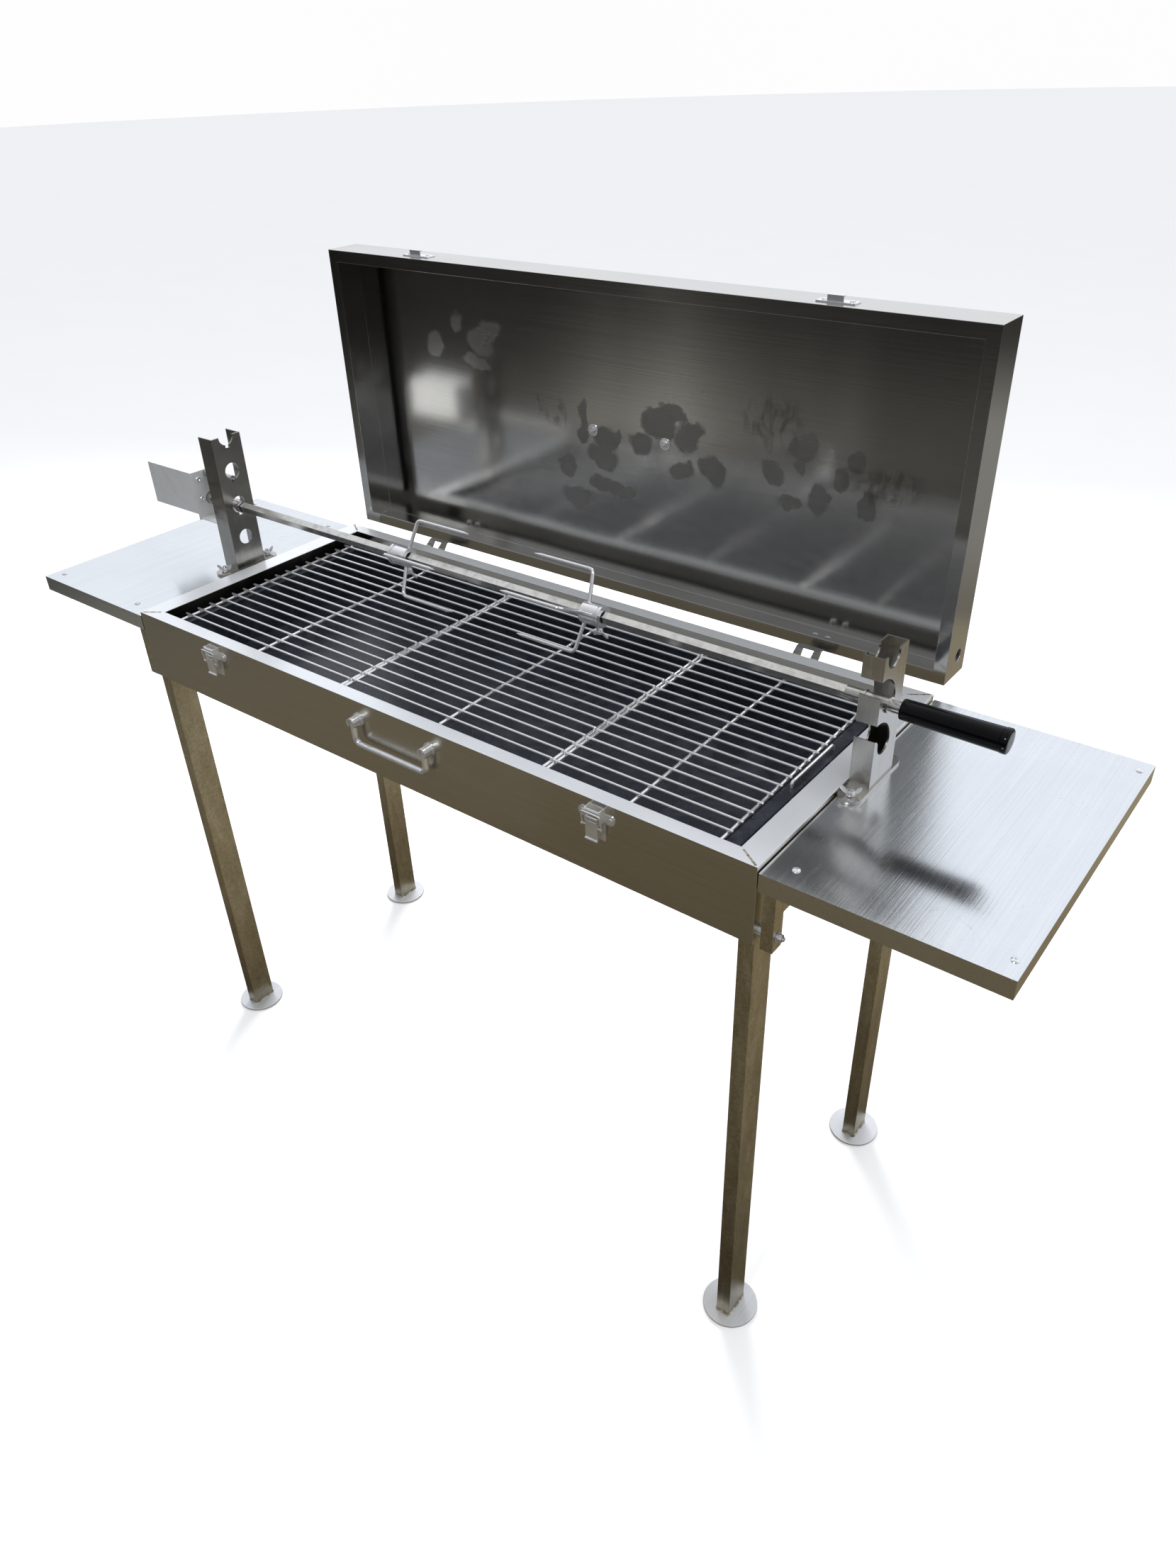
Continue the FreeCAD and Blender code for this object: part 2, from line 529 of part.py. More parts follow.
def make_lower_leaf():
    """Leaf flat on the back wall, short arm to the centre knuckle, fixed pin; origin = pivot."""
    half, back = S["hinge_half"], -S["pivot_back"]
    plate = Part.makeBox(2 * half, S["leaf_thk"], 46, V(-half, back, -48))
    arm = Part.makeBox(2 * S["knuckle_half"], -back, 3, V(-S["knuckle_half"], back, -4.5))
    knuckle = Part.makeCylinder(S["knuckle_rad"], 2 * S["knuckle_half"], V(-S["knuckle_half"], 0, 0), X_AXIS)
    pin = Part.makeCylinder(S["hinge_pin"], 2 * half + 3, V(-half - 1.5, 0, 0), X_AXIS)
    ends = [Part.makeCylinder(3.2, 1.2, V(x, 0, 0), X_AXIS) for x in (-half - 1.7, half + 0.5)]
    rivets = [Part.makeCylinder(3.5, 2, V(x, back + S["leaf_thk"] - 0.2, -34), Y_AXIS) for x in (-9, 9)]
    return solid_of(plate.multiFuse([arm, knuckle, pin] + ends + rivets))


def make_upper_leaf():
    """Leaf under the lid's lower wall with a cranked arm to two outer knuckles; origin = pivot."""
    half, rise = S["hinge_half"], S["pivot_drop"] - 1.5
    inner = S["knuckle_half"] + S["knuckle_gap"]
    plate = Part.makeBox(2 * half, 46, S["leaf_thk"], V(-half, 12, rise - S["leaf_thk"]))
    pieces = []
    for x in (-half, inner):
        width = half - inner
        outline = [V(x, -3, 3.5), V(x, 3.5, -3), V(x, 15, rise - S["leaf_thk"]), V(x, 12, rise)]
        pieces.append(Part.Face(Part.makePolygon(outline + outline[:1])).extrude(V(width, 0, 0)))
        pieces.append(Part.makeCylinder(S["knuckle_rad"], width, V(x, 0, 0), X_AXIS))
    body = plate.multiFuse(pieces)
    bore = Part.makeCylinder(S["hinge_pin"] + S["pin_play"], 2 * half + 2, V(-half - 1, 0, 0), X_AXIS)
    bolts = [Part.makeCylinder(4.0, 2.0, V(x, 44, rise - S["leaf_thk"] - 1.9), Z_AXIS) for x in (-9, 9)]
    return solid_of(body.cut(bore).multiFuse(bolts))


lower_leaves, upper_leaves = [], []
for name, x in (("left", "hinge_left"), ("right", "hinge_right")):
    for kind, shape, store in (("lower", make_lower_leaf(), lower_leaves), ("upper", make_upper_leaf(), upper_leaves)):
        leaf = doc.addObject("Part::Feature", "hinge_%s_%s" % (kind, name))
        leaf.Shape = shape
        store.append(place(leaf, x, PIVOT_Y, PIVOT_Z))
export(group("hinge_lower_set", lower_leaves), "hinge_lower")
export(group("hinge_upper_set", upper_leaves), "hinge_upper")
hinge_nuts = [rod("hinge_nut_%s%d" % (name, i), "4.5", "4", "%s + %d" % (x, dx), PIVOT_Y + " + 44", LID_Z + " + sheet")
              for name, x in (("left", "hinge_left"), ("right", "hinge_right")) for i, dx in enumerate((-9, 9))]


# ---------------------------------------------------------------- drop handles
def make_knob():
    """Slotted handle post along -Y from the wall with its cross pin; origin on the wall, pin height."""
    knob = Part.makeCylinder(S["knob_rad"], S["knob_len"], V(0, 0, 0), V(0, -1, 0))
    collar = Part.makeCylinder(S["knob_rad"] + 2, 1.5, V(0, 0, 0), V(0, -1, 0))
    depth = S["knob_len"] - S["bail_pin_out"] + S["bail_slot"]
    slot = Part.makeBox(2 * S["bail_slot"], depth + 1, S["knob_rad"] + S["bail_slot"] + 2,
                        V(-S["bail_slot"], -S["knob_len"] - 1, -S["knob_rad"] - 2))
    pin = Part.makeCylinder(S["bail_pin"], 2 * 6.2, V(-6.2, -S["bail_pin_out"], 0), X_AXIS)
    return solid_of(knob.fuse(collar).cut(slot).fuse(pin))


def make_bail():
    """U wire hanging from the two pins; origin midway between the pins, on the pin axis."""
    half, drop = S["bail_pitch"] / 2, S["bail_drop"]
    wire = pipe([V(-half, 0, 0), V(-half, 0, -drop), V(half, 0, -drop), V(half, 0, 0)], S["bail_rad"], 9.0)
    ends = [Part.makeSphere(S["bail_rad"], V(x, 0, 0)) for x in (-half, half)]
    bores = [Part.makeCylinder(S["bail_pin"] + S["pin_play"], 12, V(x - 6, 0, 0), X_AXIS) for x in (-half, half)]
    return solid_of(wire.multiFuse(ends)).cut(Part.makeCompound(bores))


HANDLES = {
    "front": ("bail_front_x", "front_y", "rim_height - bail_low", 0),
    "lid": ("bail_lid_x", LID_Y + " + lid_dep", "rim_height + lid_knob_up", 180),
}
for name, (x, y, z, turn) in HANDLES.items():
    knobs = []
    for i, sign in enumerate((-1, 1)):
        knob = doc.addObject("Part::Feature", "knob_%s%d" % (name, i))
        knob.Shape = make_knob()
        knobs.append(place(knob, "%s + %d*bail_pitch/2" % (x, sign), y, z, (Z_AXIS, "%d" % turn)))
    export(group("%s_handle_posts_set" % name, knobs), "%s_handle_posts" % name)
    out = "- bail_pin_out" if turn == 0 else "+ bail_pin_out"
    feature("%s_bail" % name, make_bail(), x, "%s %s" % (y, out), z)
lid_nuts = []
for i, sign in enumerate((-1, 1)):
    at = ("bail_lid_x + %d*bail_pitch/2" % sign, LID_Y + " + lid_dep - sheet", "rim_height + lid_knob_up")
    washer = rod("lid_nut_washer%d" % i, "8", "1.2", *at, axis=V(0, -1, 0))
    nut = rod("lid_nut_hex%d" % i, "5", "5.5", *at, axis=V(0, -1, 0))
    lid_nuts.append(fuse("lid_handle_nut%d" % i, [washer, nut]))
export(group("lid_nuts_set", hinge_nuts + lid_nuts), "lid_nuts")


# ---------------------------------------------------------------- toggle latches on the front wall
def make_latch_base():
    """Riveted channel with two ears; origin on the wall at the latch centre, rim level."""
    plate = Part.makeBox(22, 1.2, 41, V(-11, -1.2, -47))
    ears = Part.makeBox(36, 1.2, 12, V(-18, -1.2, -24))
    lobes = [Part.makeCylinder(6, 1.2, V(x, 0, -18), V(0, -1, 0)) for x in (-18, 18)]
    cheeks = [Part.makeBox(1.2, 9.4, 17, V(x, -9.4, -23)) for x in (-10, 8.8)]
    bridge = Part.makeBox(20, 1.2, 7, V(-10, -9.4, -13))
    rivets = [Part.makeCylinder(3, 2.2, V(x, 0, -18), V(0, -1, 0)) for x in (-18, 18)]
    pin = Part.makeCylinder(1.2, 20, V(-10, -6.6, -19), X_AXIS)
    return solid_of(plate.multiFuse([ears, pin, bridge] + lobes + cheeks + rivets))


def make_latch_lever():
    """Channel lever between the cheeks with a rolled finger edge; origin on its pin."""
    face = Part.makeBox(16, 1.2, 22, V(-8, -3.6, -24))
    cheeks = [Part.makeBox(1.2, 5.6, 8, V(x, -3.6, -4.5)) for x in (-8, 6.8)]
    roll = Part.makeCylinder(1.5, 16, V(-8, -3.9, -24.5), X_AXIS)
    stubs = [Part.makeCylinder(0.9, 7.2, V(x, -2.6, -8), X_AXIS) for x in (-13.4, 6.2)]
    bore = Part.makeCylinder(1.25, 20, V(-10, 0, 0), X_AXIS)
    ears = [Part.makeBox(1.2, 3.0, 8, V(x, -3.6, -11)) for x in (-8, 6.8)]
    return solid_of(face.multiFuse(cheeks + ears + stubs + [roll]).cut(bore))


def make_latch_loop():
    """Wire loop outside the channel, hung on the lever's stubs; origin on the stub axis."""
    wire = pipe([V(-12.4, 0, 0), V(-12.4, -2.4, 17.5), V(12.4, -2.4, 17.5), V(12.4, 0, 0)], 1.0, 2.5)
    eyes = [Part.makeCylinder(2.1, 1.8, V(x, 0, 0), X_AXIS) for x in (-13.3, 11.5)]
    bores = [Part.makeCylinder(0.95, 3, V(x, 0, 0), X_AXIS) for x in (-14, 11)]
    return solid_of(wire.multiFuse(eyes).cut(Part.makeCompound(bores)))


for side in ("left", "right"):
    x = "latch_" + side
    feature("latch_base_" + side, make_latch_base(), x, "front_y", "rim_height")
    feature("latch_lever_" + side, make_latch_lever(), x, "front_y - 6.6", "rim_height - 19")
    feature("latch_loop_" + side, make_latch_loop(), x, "front_y - 9.2", "rim_height - 27")


# ---------------------------------------------------------------- spit posts
SPIT_Z = "rim_height + spit_up"
TABLE_Z = "rim_height - table_drop"


def rounded_plate(name, wid, length, thk, x, y, z, studs):
    """Plate with rounded ends along Y and stud holes; x, y = its centre."""
    strip = box(name + "_strip", wid, "(%s) - (%s)" % (length, wid), thk, "(%s) - (%s)/2" % (x, wid),
                "(%s) - ((%s) - (%s))/2" % (y, length, wid), z)
    ends = [rod(name + "_end%d" % i, "(%s)/2" % wid, thk, x, "(%s) + %d*((%s) - (%s))/2" % (y, s, length, wid), z)
            for i, s in enumerate((-1, 1))]
    holes = [rod(name + "_hole%d" % i, "stud_rad + 0.3", "(%s) + 2" % thk, x, at, "(%s) - 1" % z)
             for i, at in enumerate(studs)]
    return cut(name, fuse(name + "_blank", [strip] + ends), holes)


def make_left_post():
    """Folded channel, web toward the spit, with hanging keyholes and a plain hole."""
    body = new_body("post_left")
    section = sketch(body, "XY_Plane", "post_left_section")
    polygon(section, [("0", "-post_wid/2"), ("0", "post_wid/2"), ("-post_dep", "post_wid/2"),
                      ("-post_dep", "post_wid/2 - post_thk"), ("-post_thk", "post_wid/2 - post_thk"),
                      ("-post_thk", "-post_wid/2 + post_thk"), ("-post_dep", "-post_wid/2 + post_thk"),
                      ("-post_dep", "-post_wid/2")])
    pad(body, section, "post_top + table_drop - base_thk", "post_left_channel")
    shift = "table_drop - base_thk"
    for i in range(4):
        hole = sketch(body, "YZ_Plane", "keyhole_plan%d" % i, "-post_thk - 1")
        centre = "key_top - %d*key_pitch + %s" % (i, shift)
        circle(hole, "0", centre, "keyhole" if i < 3 else "keyhole - 1")
        pocket(body, hole, "post_thk + 2", "keyhole_cut%d" % i, reverse=True)
        if i < 3:
            slot = sketch(body, "YZ_Plane", "key_slot_plan%d" % i, "-post_thk - 1")
            rectangle(slot, "-key_slot", centre + " - keyhole - 4", "key_slot", centre)
            pocket(body, slot, "post_thk + 2", "key_slot_cut%d" % i, reverse=True)
    return place(body, "post_web", "spit_y", TABLE_Z + " + base_thk")


LEFT_PLATE_X = "-box_len/2 - (%s)" % POST_STUDS["left"][0]
RIGHT_PLATE_X = "box_len/2 + " + POST_STUDS["right"][0]
left_studs, right_studs = POST_STUDS["left"][1], POST_STUDS["right"][1]
export(make_left_post(), "post_left")
export(rounded_plate("base_left", "28", "base_len + 6", "base_thk", LEFT_PLATE_X, "spit_y", TABLE_Z, left_studs),
       "post_base_left")


def make_right_post():
    """Closed folded box with three J notches open to the front; origin = its front lower left edge."""
    tall = S["rpost_top"] + S["table_drop"] - S["base_thk"]
    thk, wid, dep = S["post_thk"], S["rpost_wid"], S["rpost_dep"]
    shell = Part.makeBox(wid, dep, tall).cut(
        Part.makeBox(wid - 2 * thk, dep - 2 * thk, tall + 2, V(thk, thk, -1)))
    shift = S["table_drop"] - S["base_thk"]
    axis_y = S["spit_y"] - S["rpost_front"]
    for k in range(3):
        dip = S["spit_up"] + shift - S["sleeve_rad"] - 0.4 + S["notch_rad"] + (1 - k) * S["notch_pitch"]
        r = S["notch_rad"]
        lead = [V(-1, -2, dip + 28.5), V(-1, 0.6, dip + 28.5)]
        over = Part.Arc(lead[1], V(-1, axis_y - 3, dip + 24.5), V(-1, axis_y + r, dip))
        cradle = Part.Arc(V(-1, axis_y + r, dip), V(-1, axis_y, dip - r), V(-1, axis_y - r, dip))
        lip = Part.Arc(V(-1, axis_y - r, dip), V(-1, axis_y - r - 2.8, dip + 7), V(-1, 0, dip + 9.5))
        edges = [Part.makeLine(lead[0], lead[1]), over.toShape(), cradle.toShape(), lip.toShape(),
                 Part.makeLine(V(-1, 0, dip + 9.5), V(-1, -2, dip + 9.5)),
                 Part.makeLine(V(-1, -2, dip + 9.5), lead[0])]
        notch = Part.Face(Part.Wire(edges)).extrude(V(wid + 2, 0, 0))
        shell = shell.cut(notch)
    return solid_of(shell)


feature("post_right", make_right_post(), "rpost_x", "rpost_front", TABLE_Z + " + base_thk")
export(rounded_plate("base_right", "27", "112", "base_thk", RIGHT_PLATE_X, "spit_y + 2.5", TABLE_Z, right_studs),
       "post_base_right")


def make_wing_nut():
    """Hub with two wings on a tapped bore; origin = seat on the base plate."""
    hub = Part.makeCone(5.2, 4.2, 6)
    wings = []
    for sign in (-1, 1):
        outline = [V(sign * 3, -0.8, 1), V(sign * 9, -0.8, 4.5), V(sign * 11.6, -0.8, 10), V(sign * 7.5, -0.8, 11),
                   V(sign * 3, -0.8, 5.5)]
        wings.append(Part.Face(Part.makePolygon(outline + outline[:1])).extrude(V(0, 1.6, 0)))
    bore = Part.makeCylinder(S["stud_rad"] + S["pin_play"], 20, V(0, 0, -1))
    return solid_of(hub.multiFuse(wings).cut(bore))


studs = []
WING_TURNS = {"left_front": (0, 35), "left_back": (1, 80), "right_front": (0, 20), "right_back": (1, 90)}
for corner, (index, turn) in WING_TURNS.items():
    x, row = (LEFT_PLATE_X, left_studs) if corner.startswith("left") else (RIGHT_PLATE_X, right_studs)
    stud = rod("stud_" + corner, "stud_rad", "26", x, row[index], TABLE_Z + " - 14")
    nut = rod("stud_nut_" + corner, "5.5", "5", x, row[index], TABLE_Z + " - sheet - 5")
    studs.append(fuse("post_stud_" + corner, [stud, nut]))
    feature("wing_nut_" + corner, make_wing_nut(), x, row[index], TABLE_Z + " + base_thk + 0.3",
            (Z_AXIS, "%d" % turn))
export(group("post_studs_set", studs), "post_studs")


# ---------------------------------------------------------------- motor
def make_motor_housing():
    """Folded sheet box, closed toward -X, open on the mounting plate side."""
    body = new_body("motor_housing")
    outer = sketch(body, "YZ_Plane", "motor_outline", "-motor_len")
    rectangle(outer, "-motor_wid/2", "0", "motor_wid/2", "motor_hgt")
    pad(body, outer, "motor_len", "motor_block")
    inner = sketch(body, "YZ_Plane", "motor_cavity_outline", "-motor_len + sheet")
    rectangle(inner, "-motor_wid/2 + sheet", "sheet", "motor_wid/2 - sheet", "motor_hgt - sheet")
    pocket(body, inner, "motor_len", "motor_cavity", reverse=True)
    window = sketch(body, "YZ_Plane", "motor_switch_window", "-motor_len - 1")
    rectangle(window, "-6.4", "26", "6.4", "46")
    pocket(body, window, "sheet + 2", "motor_window", reverse=True)
    cable = sketch(body, "YZ_Plane", "motor_inlet_hole", "-motor_len - 1")
    circle(cable, "0", "13", "5.2")
    pocket(body, cable, "sheet + 2", "motor_inlet_cut", reverse=True)
    return place(body, "motor_face", "spit_y", "rim_height + motor_low")


export(make_motor_housing(), "motor_housing")
MOTOR_Z = "rim_height + motor_low"
face = box("plate_face", "1.5", "motor_wid", "motor_hgt + 9", "motor_face", "spit_y - motor_wid/2", MOTOR_Z + " - 9")
lip = box("plate_lip", "38", "motor_wid - 8", "1.5", "motor_face", "spit_y - motor_wid/2 + 4", MOTOR_Z + " - 9")
plate_hole = rod("plate_hole", "spindle_rad + 0.5", "6", "motor_face - 2", "spit_y", SPIT_Z, X_AXIS)
export(cut("motor_plate_cut", fuse("motor_plate_blank", [face, lip]), [plate_hole]), "motor_plate")

stud_neck = rod("hang_neck", "2.6", "motor_face * -1 + post_web + 1", "motor_face + 1.5", "spit_y", "rim_height + 128.6", X_AXIS)
stud_head = rod("hang_shoulder", "6", "-motor_face + post_web - post_thk - 2.2", "motor_face + 1.5", "spit_y",
                "rim_height + 128.6", X_AXIS)
export(fuse("motor_hanger", [stud_neck, stud_head]), "motor_stud")
plate_screws = [rod("plate_screw%d" % i, "3.6", "2", "motor_face + 1.5", "spit_y + %d" % y, "rim_height + %s" % z, X_AXIS)
                for i, (y, z) in enumerate(((-16, 92.6), (16, 92.6), (-16, 122), (16, 122)))]
export(group("plate_screws_set", plate_screws), "motor_screws")

gearbox = box("gearbox", "26", "46", "52", "motor_face - 26", "spit_y - 23", MOTOR_Z + " + 4")
can = rod("motor_can", "18", "58", "motor_face - 84", "spit_y", MOTOR_Z + " + 30", X_AXIS)
core_bore = rod("gearbox_bore", "spindle_rad + 0.5", "30", "motor_face - 12", "spit_y", SPIT_Z, X_AXIS)
export(cut("motor_core_cut", fuse("motor_core_blank", [gearbox, can]), [core_bore]), "motor_core")
gland = rod("gland_body", "5", "14", "motor_face - motor_len - 10", "spit_y", MOTOR_Z + " + 13", X_AXIS)
gland_nut = rod("gland_flange", "8", "4", "motor_face - motor_len - 4", "spit_y", MOTOR_Z + " + 13", X_AXIS)
gland_bore = rod("gland_bore", "2.6", "30", "motor_face - motor_len - 15", "spit_y", MOTOR_Z + " + 13", X_AXIS)
export(cut("gland_cut", fuse("gland_blank", [gland, gland_nut]), [gland_bore]), "motor_inlet")


def make_rocker():
    """Two-position rocker in the end window; origin on its tilt axis."""
    outline = [V(-3.4, 0, -8.6), V(2.4, 0, -8.6), V(2.4, 0, 8.6), V(-4.6, 0, 8.6), V(-2.6, 0, 0)]
    cap = Part.Face(Part.makePolygon([V(p.x, -5.6, p.z) for p in outline + outline[:1]])).extrude(V(0, 11.2, 0))
    return solid_of(cap)


feature("motor_rocker", make_rocker(), "motor_face - motor_len + 1", "spit_y", MOTOR_Z + " + 36")


def make_spindle():
    """Output spindle with a square socket for the rod; origin on the axis at the housing face."""
    reach = S["post_web"] - S["motor_face"] + 7.5
    shaft = Part.makeCylinder(S["spindle_rad"], reach + 10, V(-10, 0, 0), X_AXIS)
    collar = Part.makeCylinder(S["spindle_rad"] + 1.5, 5, V(8, 0, 0), X_AXIS)
    side, deep = S["socket"], 24.0
    socket = Part.makeBox(deep + 1, side, side, V(reach - deep, -side / 2, -side / 2))
    return solid_of(shaft.fuse(collar).cut(socket))


feature("motor_spindle", make_spindle(), "motor_face", "spit_y", SPIT_Z, (X_AXIS, "spit_turn"))

# ---------------------------------------------------------------- spit rod, sleeve and handle
spit = new_body("spit_rod")
square = sketch(spit, "YZ_Plane", "rod_section", "rod_left")
rectangle(square, "-rod_size/2", "-rod_size/2", "rod_size/2", "rod_size/2")
pad(spit, square, "sleeve_left - rod_left + 1", "rod_bar")
turned = sketch(spit, "XZ_Plane", "sleeve_profile")
X0 = "sleeve_left"
polygon(turned, [
    (X0, "0"), (X0, "sleeve_rad"), (X0 + " + 20.4", "sleeve_rad"), (X0 + " + 20.4", "ring_rad"),
    (X0 + " + 22", "ring_rad"), (X0 + " + 22", "sleeve_rad"), (X0 + " + 47.4", "sleeve_rad"),
    (X0 + " + 47.4", "ring_rad"), (X0 + " + sleeve_len", "ring_rad"), (X0 + " + sleeve_len", "stem_rad"),
    ("grip_left + 12", "stem_rad"), ("grip_left + 12", "0")])
revolve(spit, turned, "sleeve_and_stem")
export(place(spit, 0, "spit_y", SPIT_Z, (X_AXIS, "spit_turn")), "spit_rod")

grip = new_body("spit_handle")
profile = sketch(grip, "XZ_Plane", "handle_profile")
polygon(profile, [
    ("0", "stem_rad"), ("0", "grip_small - 1"), ("1.5", "grip_small"), ("grip_len - 8", "grip_big - 0.6"),
    ("grip_len - 6.5", "grip_big - 0.6"), ("grip_len - 6", "grip_big"), ("grip_len - 1.5", "grip_big"),
    ("grip_len", "grip_big - 2"), ("grip_len", "0"), ("12", "0"), ("12", "stem_rad")])
revolve(grip, profile, "handle_turned")
export(place(grip, "grip_left", "spit_y", SPIT_Z), "spit_handle")


# ---------------------------------------------------------------- forks and clamp screws
def make_fork(sign):
    """Hub with four prongs; sign = +1 when the prongs run toward +X. Origin = outer face of the hub."""
    hub = Part.makeCylinder(S["hub_rad"] + 0.8, 3, V(0, 0, 0), X_AXIS)
    neck = Part.makeCylinder(S["hub_rad"] - 1.5, S["hub_len"], V(0, 0, 0), X_AXIS)
    drum = Part.makeCylinder(S["hub_rad"], S["hub_len"] - 5.5, V(5.5, 0, 0), X_AXIS)
    arm, tip = S["hub_len"] - 3.5, S["hub_len"] + S["prong_len"]
    prongs = []
    for k in range(4):
        out = V(0, math.cos(math.radians(45 + 90 * k)), math.sin(math.radians(45 + 90 * k)))
        lean = V(arm + 5, 0, 0) + out * S["prong_reach"]
        prongs.append(pipe([V(arm, 0, 0) + out * 9.5, lean, V(tip - 9, 0, 0) + out * S["prong_reach"]],
                           S["prong_rad"], 7.0))
        prongs.append(Part.makeCone(S["prong_rad"], 0.5, 9, V(tip - 9, 0, 0) + out * S["prong_reach"], X_AXIS))
    bore = Part.makeCylinder(S["hub_bore"], S["hub_len"] + 2, V(-1, 0, 0), X_AXIS)
    tapped = Part.makeCylinder(S["screw_rad"] + S["pin_play"], 30, V(S["hub_len"] * 0.5, 0, 0), V(0, 0, -1))
    fork = hub.multiFuse([neck, drum] + prongs).cut(bore).cut(tapped)
    if sign < 0:
        fork = fork.mirror(V(0, 0, 0), X_AXIS)
    return solid_of(fork)


def make_clamp_screw():
    """Wing screw pointing up into the hub; origin on the spit axis."""
    low, top = S["hub_rad"] + 15, S["rod_size"] / 2 + 0.35
    shank = Part.makeCylinder(S["screw_rad"], low - top, V(0, 0, -low))
    hub = Part.makeCylinder(4.6, 7, V(0, 0, -low - 2))
    wings = []
    for side in (-1, 1):
        outline = [V(side * 2, -0.9, -low), V(side * 8, -0.9, -low + 1), V(side * 12, -0.9, -low - 6),
                   V(side * 8, -0.9, -low - 9), V(side * 2, -0.9, -low - 2)]
        wings.append(Part.Face(Part.makePolygon(outline + outline[:1])).extrude(V(0, 1.8, 0)))
    return solid_of(shank.multiFuse([hub] + wings))


for side, sign, x, middle in (("left", 1, "fork_left", "fork_left + hub_len/2"),
                              ("right", -1, "fork_right", "fork_right - hub_len/2")):
    turn = (X_AXIS, "spit_turn")
    feature("fork_" + side, make_fork(sign), x, "spit_y", SPIT_Z, turn)
    feature("fork_screw_" + side, make_clamp_screw(), middle, "spit_y", SPIT_Z, turn)

# ---------------------------------------------------------------- check and write
doc.recompute()
for obj in doc.Objects:
    if "Invalid" in obj.State or "Error" in obj.State:
        raise RuntimeError("%s is in state %s" % (obj.Name, obj.State))
os.makedirs("parts", exist_ok=True)
for obj in PARTS:
    if obj.Shape.isNull() or not obj.Shape.isValid():
        raise RuntimeError("%s has no valid shape" % obj.Label)
    obj.Shape.exportStep("parts/%s.step" % obj.Label)
print("parts written: %d" % len(PARTS))
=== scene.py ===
import json
import math
import random

import bmesh
import bpy
from mathutils import Matrix, Vector


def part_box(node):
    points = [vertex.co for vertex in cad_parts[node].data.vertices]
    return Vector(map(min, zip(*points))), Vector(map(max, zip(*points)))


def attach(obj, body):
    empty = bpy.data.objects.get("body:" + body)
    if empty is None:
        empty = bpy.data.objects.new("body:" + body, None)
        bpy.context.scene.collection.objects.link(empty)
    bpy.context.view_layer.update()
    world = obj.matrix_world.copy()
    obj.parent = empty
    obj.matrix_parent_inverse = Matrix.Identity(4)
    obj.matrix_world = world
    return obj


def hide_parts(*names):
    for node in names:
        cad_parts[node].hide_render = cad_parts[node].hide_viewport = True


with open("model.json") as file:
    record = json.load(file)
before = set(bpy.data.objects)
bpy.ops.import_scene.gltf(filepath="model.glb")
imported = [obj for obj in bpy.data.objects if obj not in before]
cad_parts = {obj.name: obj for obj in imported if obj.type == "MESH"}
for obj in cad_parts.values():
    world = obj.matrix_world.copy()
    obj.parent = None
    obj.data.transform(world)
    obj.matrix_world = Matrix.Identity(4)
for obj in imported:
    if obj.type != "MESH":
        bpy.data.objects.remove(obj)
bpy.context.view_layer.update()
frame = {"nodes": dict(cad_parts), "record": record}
MM = 0.001
BODY_OF = {node: body for body, nodes in frame["record"]["behaviour"]["bodies"].items() for node in nodes}
X_AXIS, Y_AXIS, Z_AXIS = Vector((1, 0, 0)), Vector((0, 1, 0)), Vector((0, 0, 1))
random.seed(11)


# ---------------------------------------------------------------- camera
def make_camera():
    """Three-quarter view from the right-hand front, a little above, with a slight roll."""
    azimuth, elevation, roll = math.radians(38.837), math.radians(33.901), math.radians(-2.0635)
    back = Vector((math.sin(azimuth) * math.cos(elevation), -math.cos(azimuth) * math.cos(elevation),
                   math.sin(elevation)))
    right = Vector((math.cos(azimuth), math.sin(azimuth), 0))
    up = back.cross(right)
    right_r = right * math.cos(roll) + up * math.sin(roll)
    up_r = up * math.cos(roll) - right * math.sin(roll)
    data = bpy.data.cameras.new("camera")
    data.sensor_width, data.lens = 36, 25.917
    data.clip_start, data.clip_end = 0.05, 100
    cam = bpy.data.objects.new("camera", data)
    bpy.context.scene.collection.objects.link(cam)
    place = Matrix((right_r, up_r, back)).transposed().to_4x4()
    place.translation = Vector((0.9035, -0.9965, 1.4264))
    cam.matrix_world = place
    bpy.context.scene.camera = cam


make_camera()


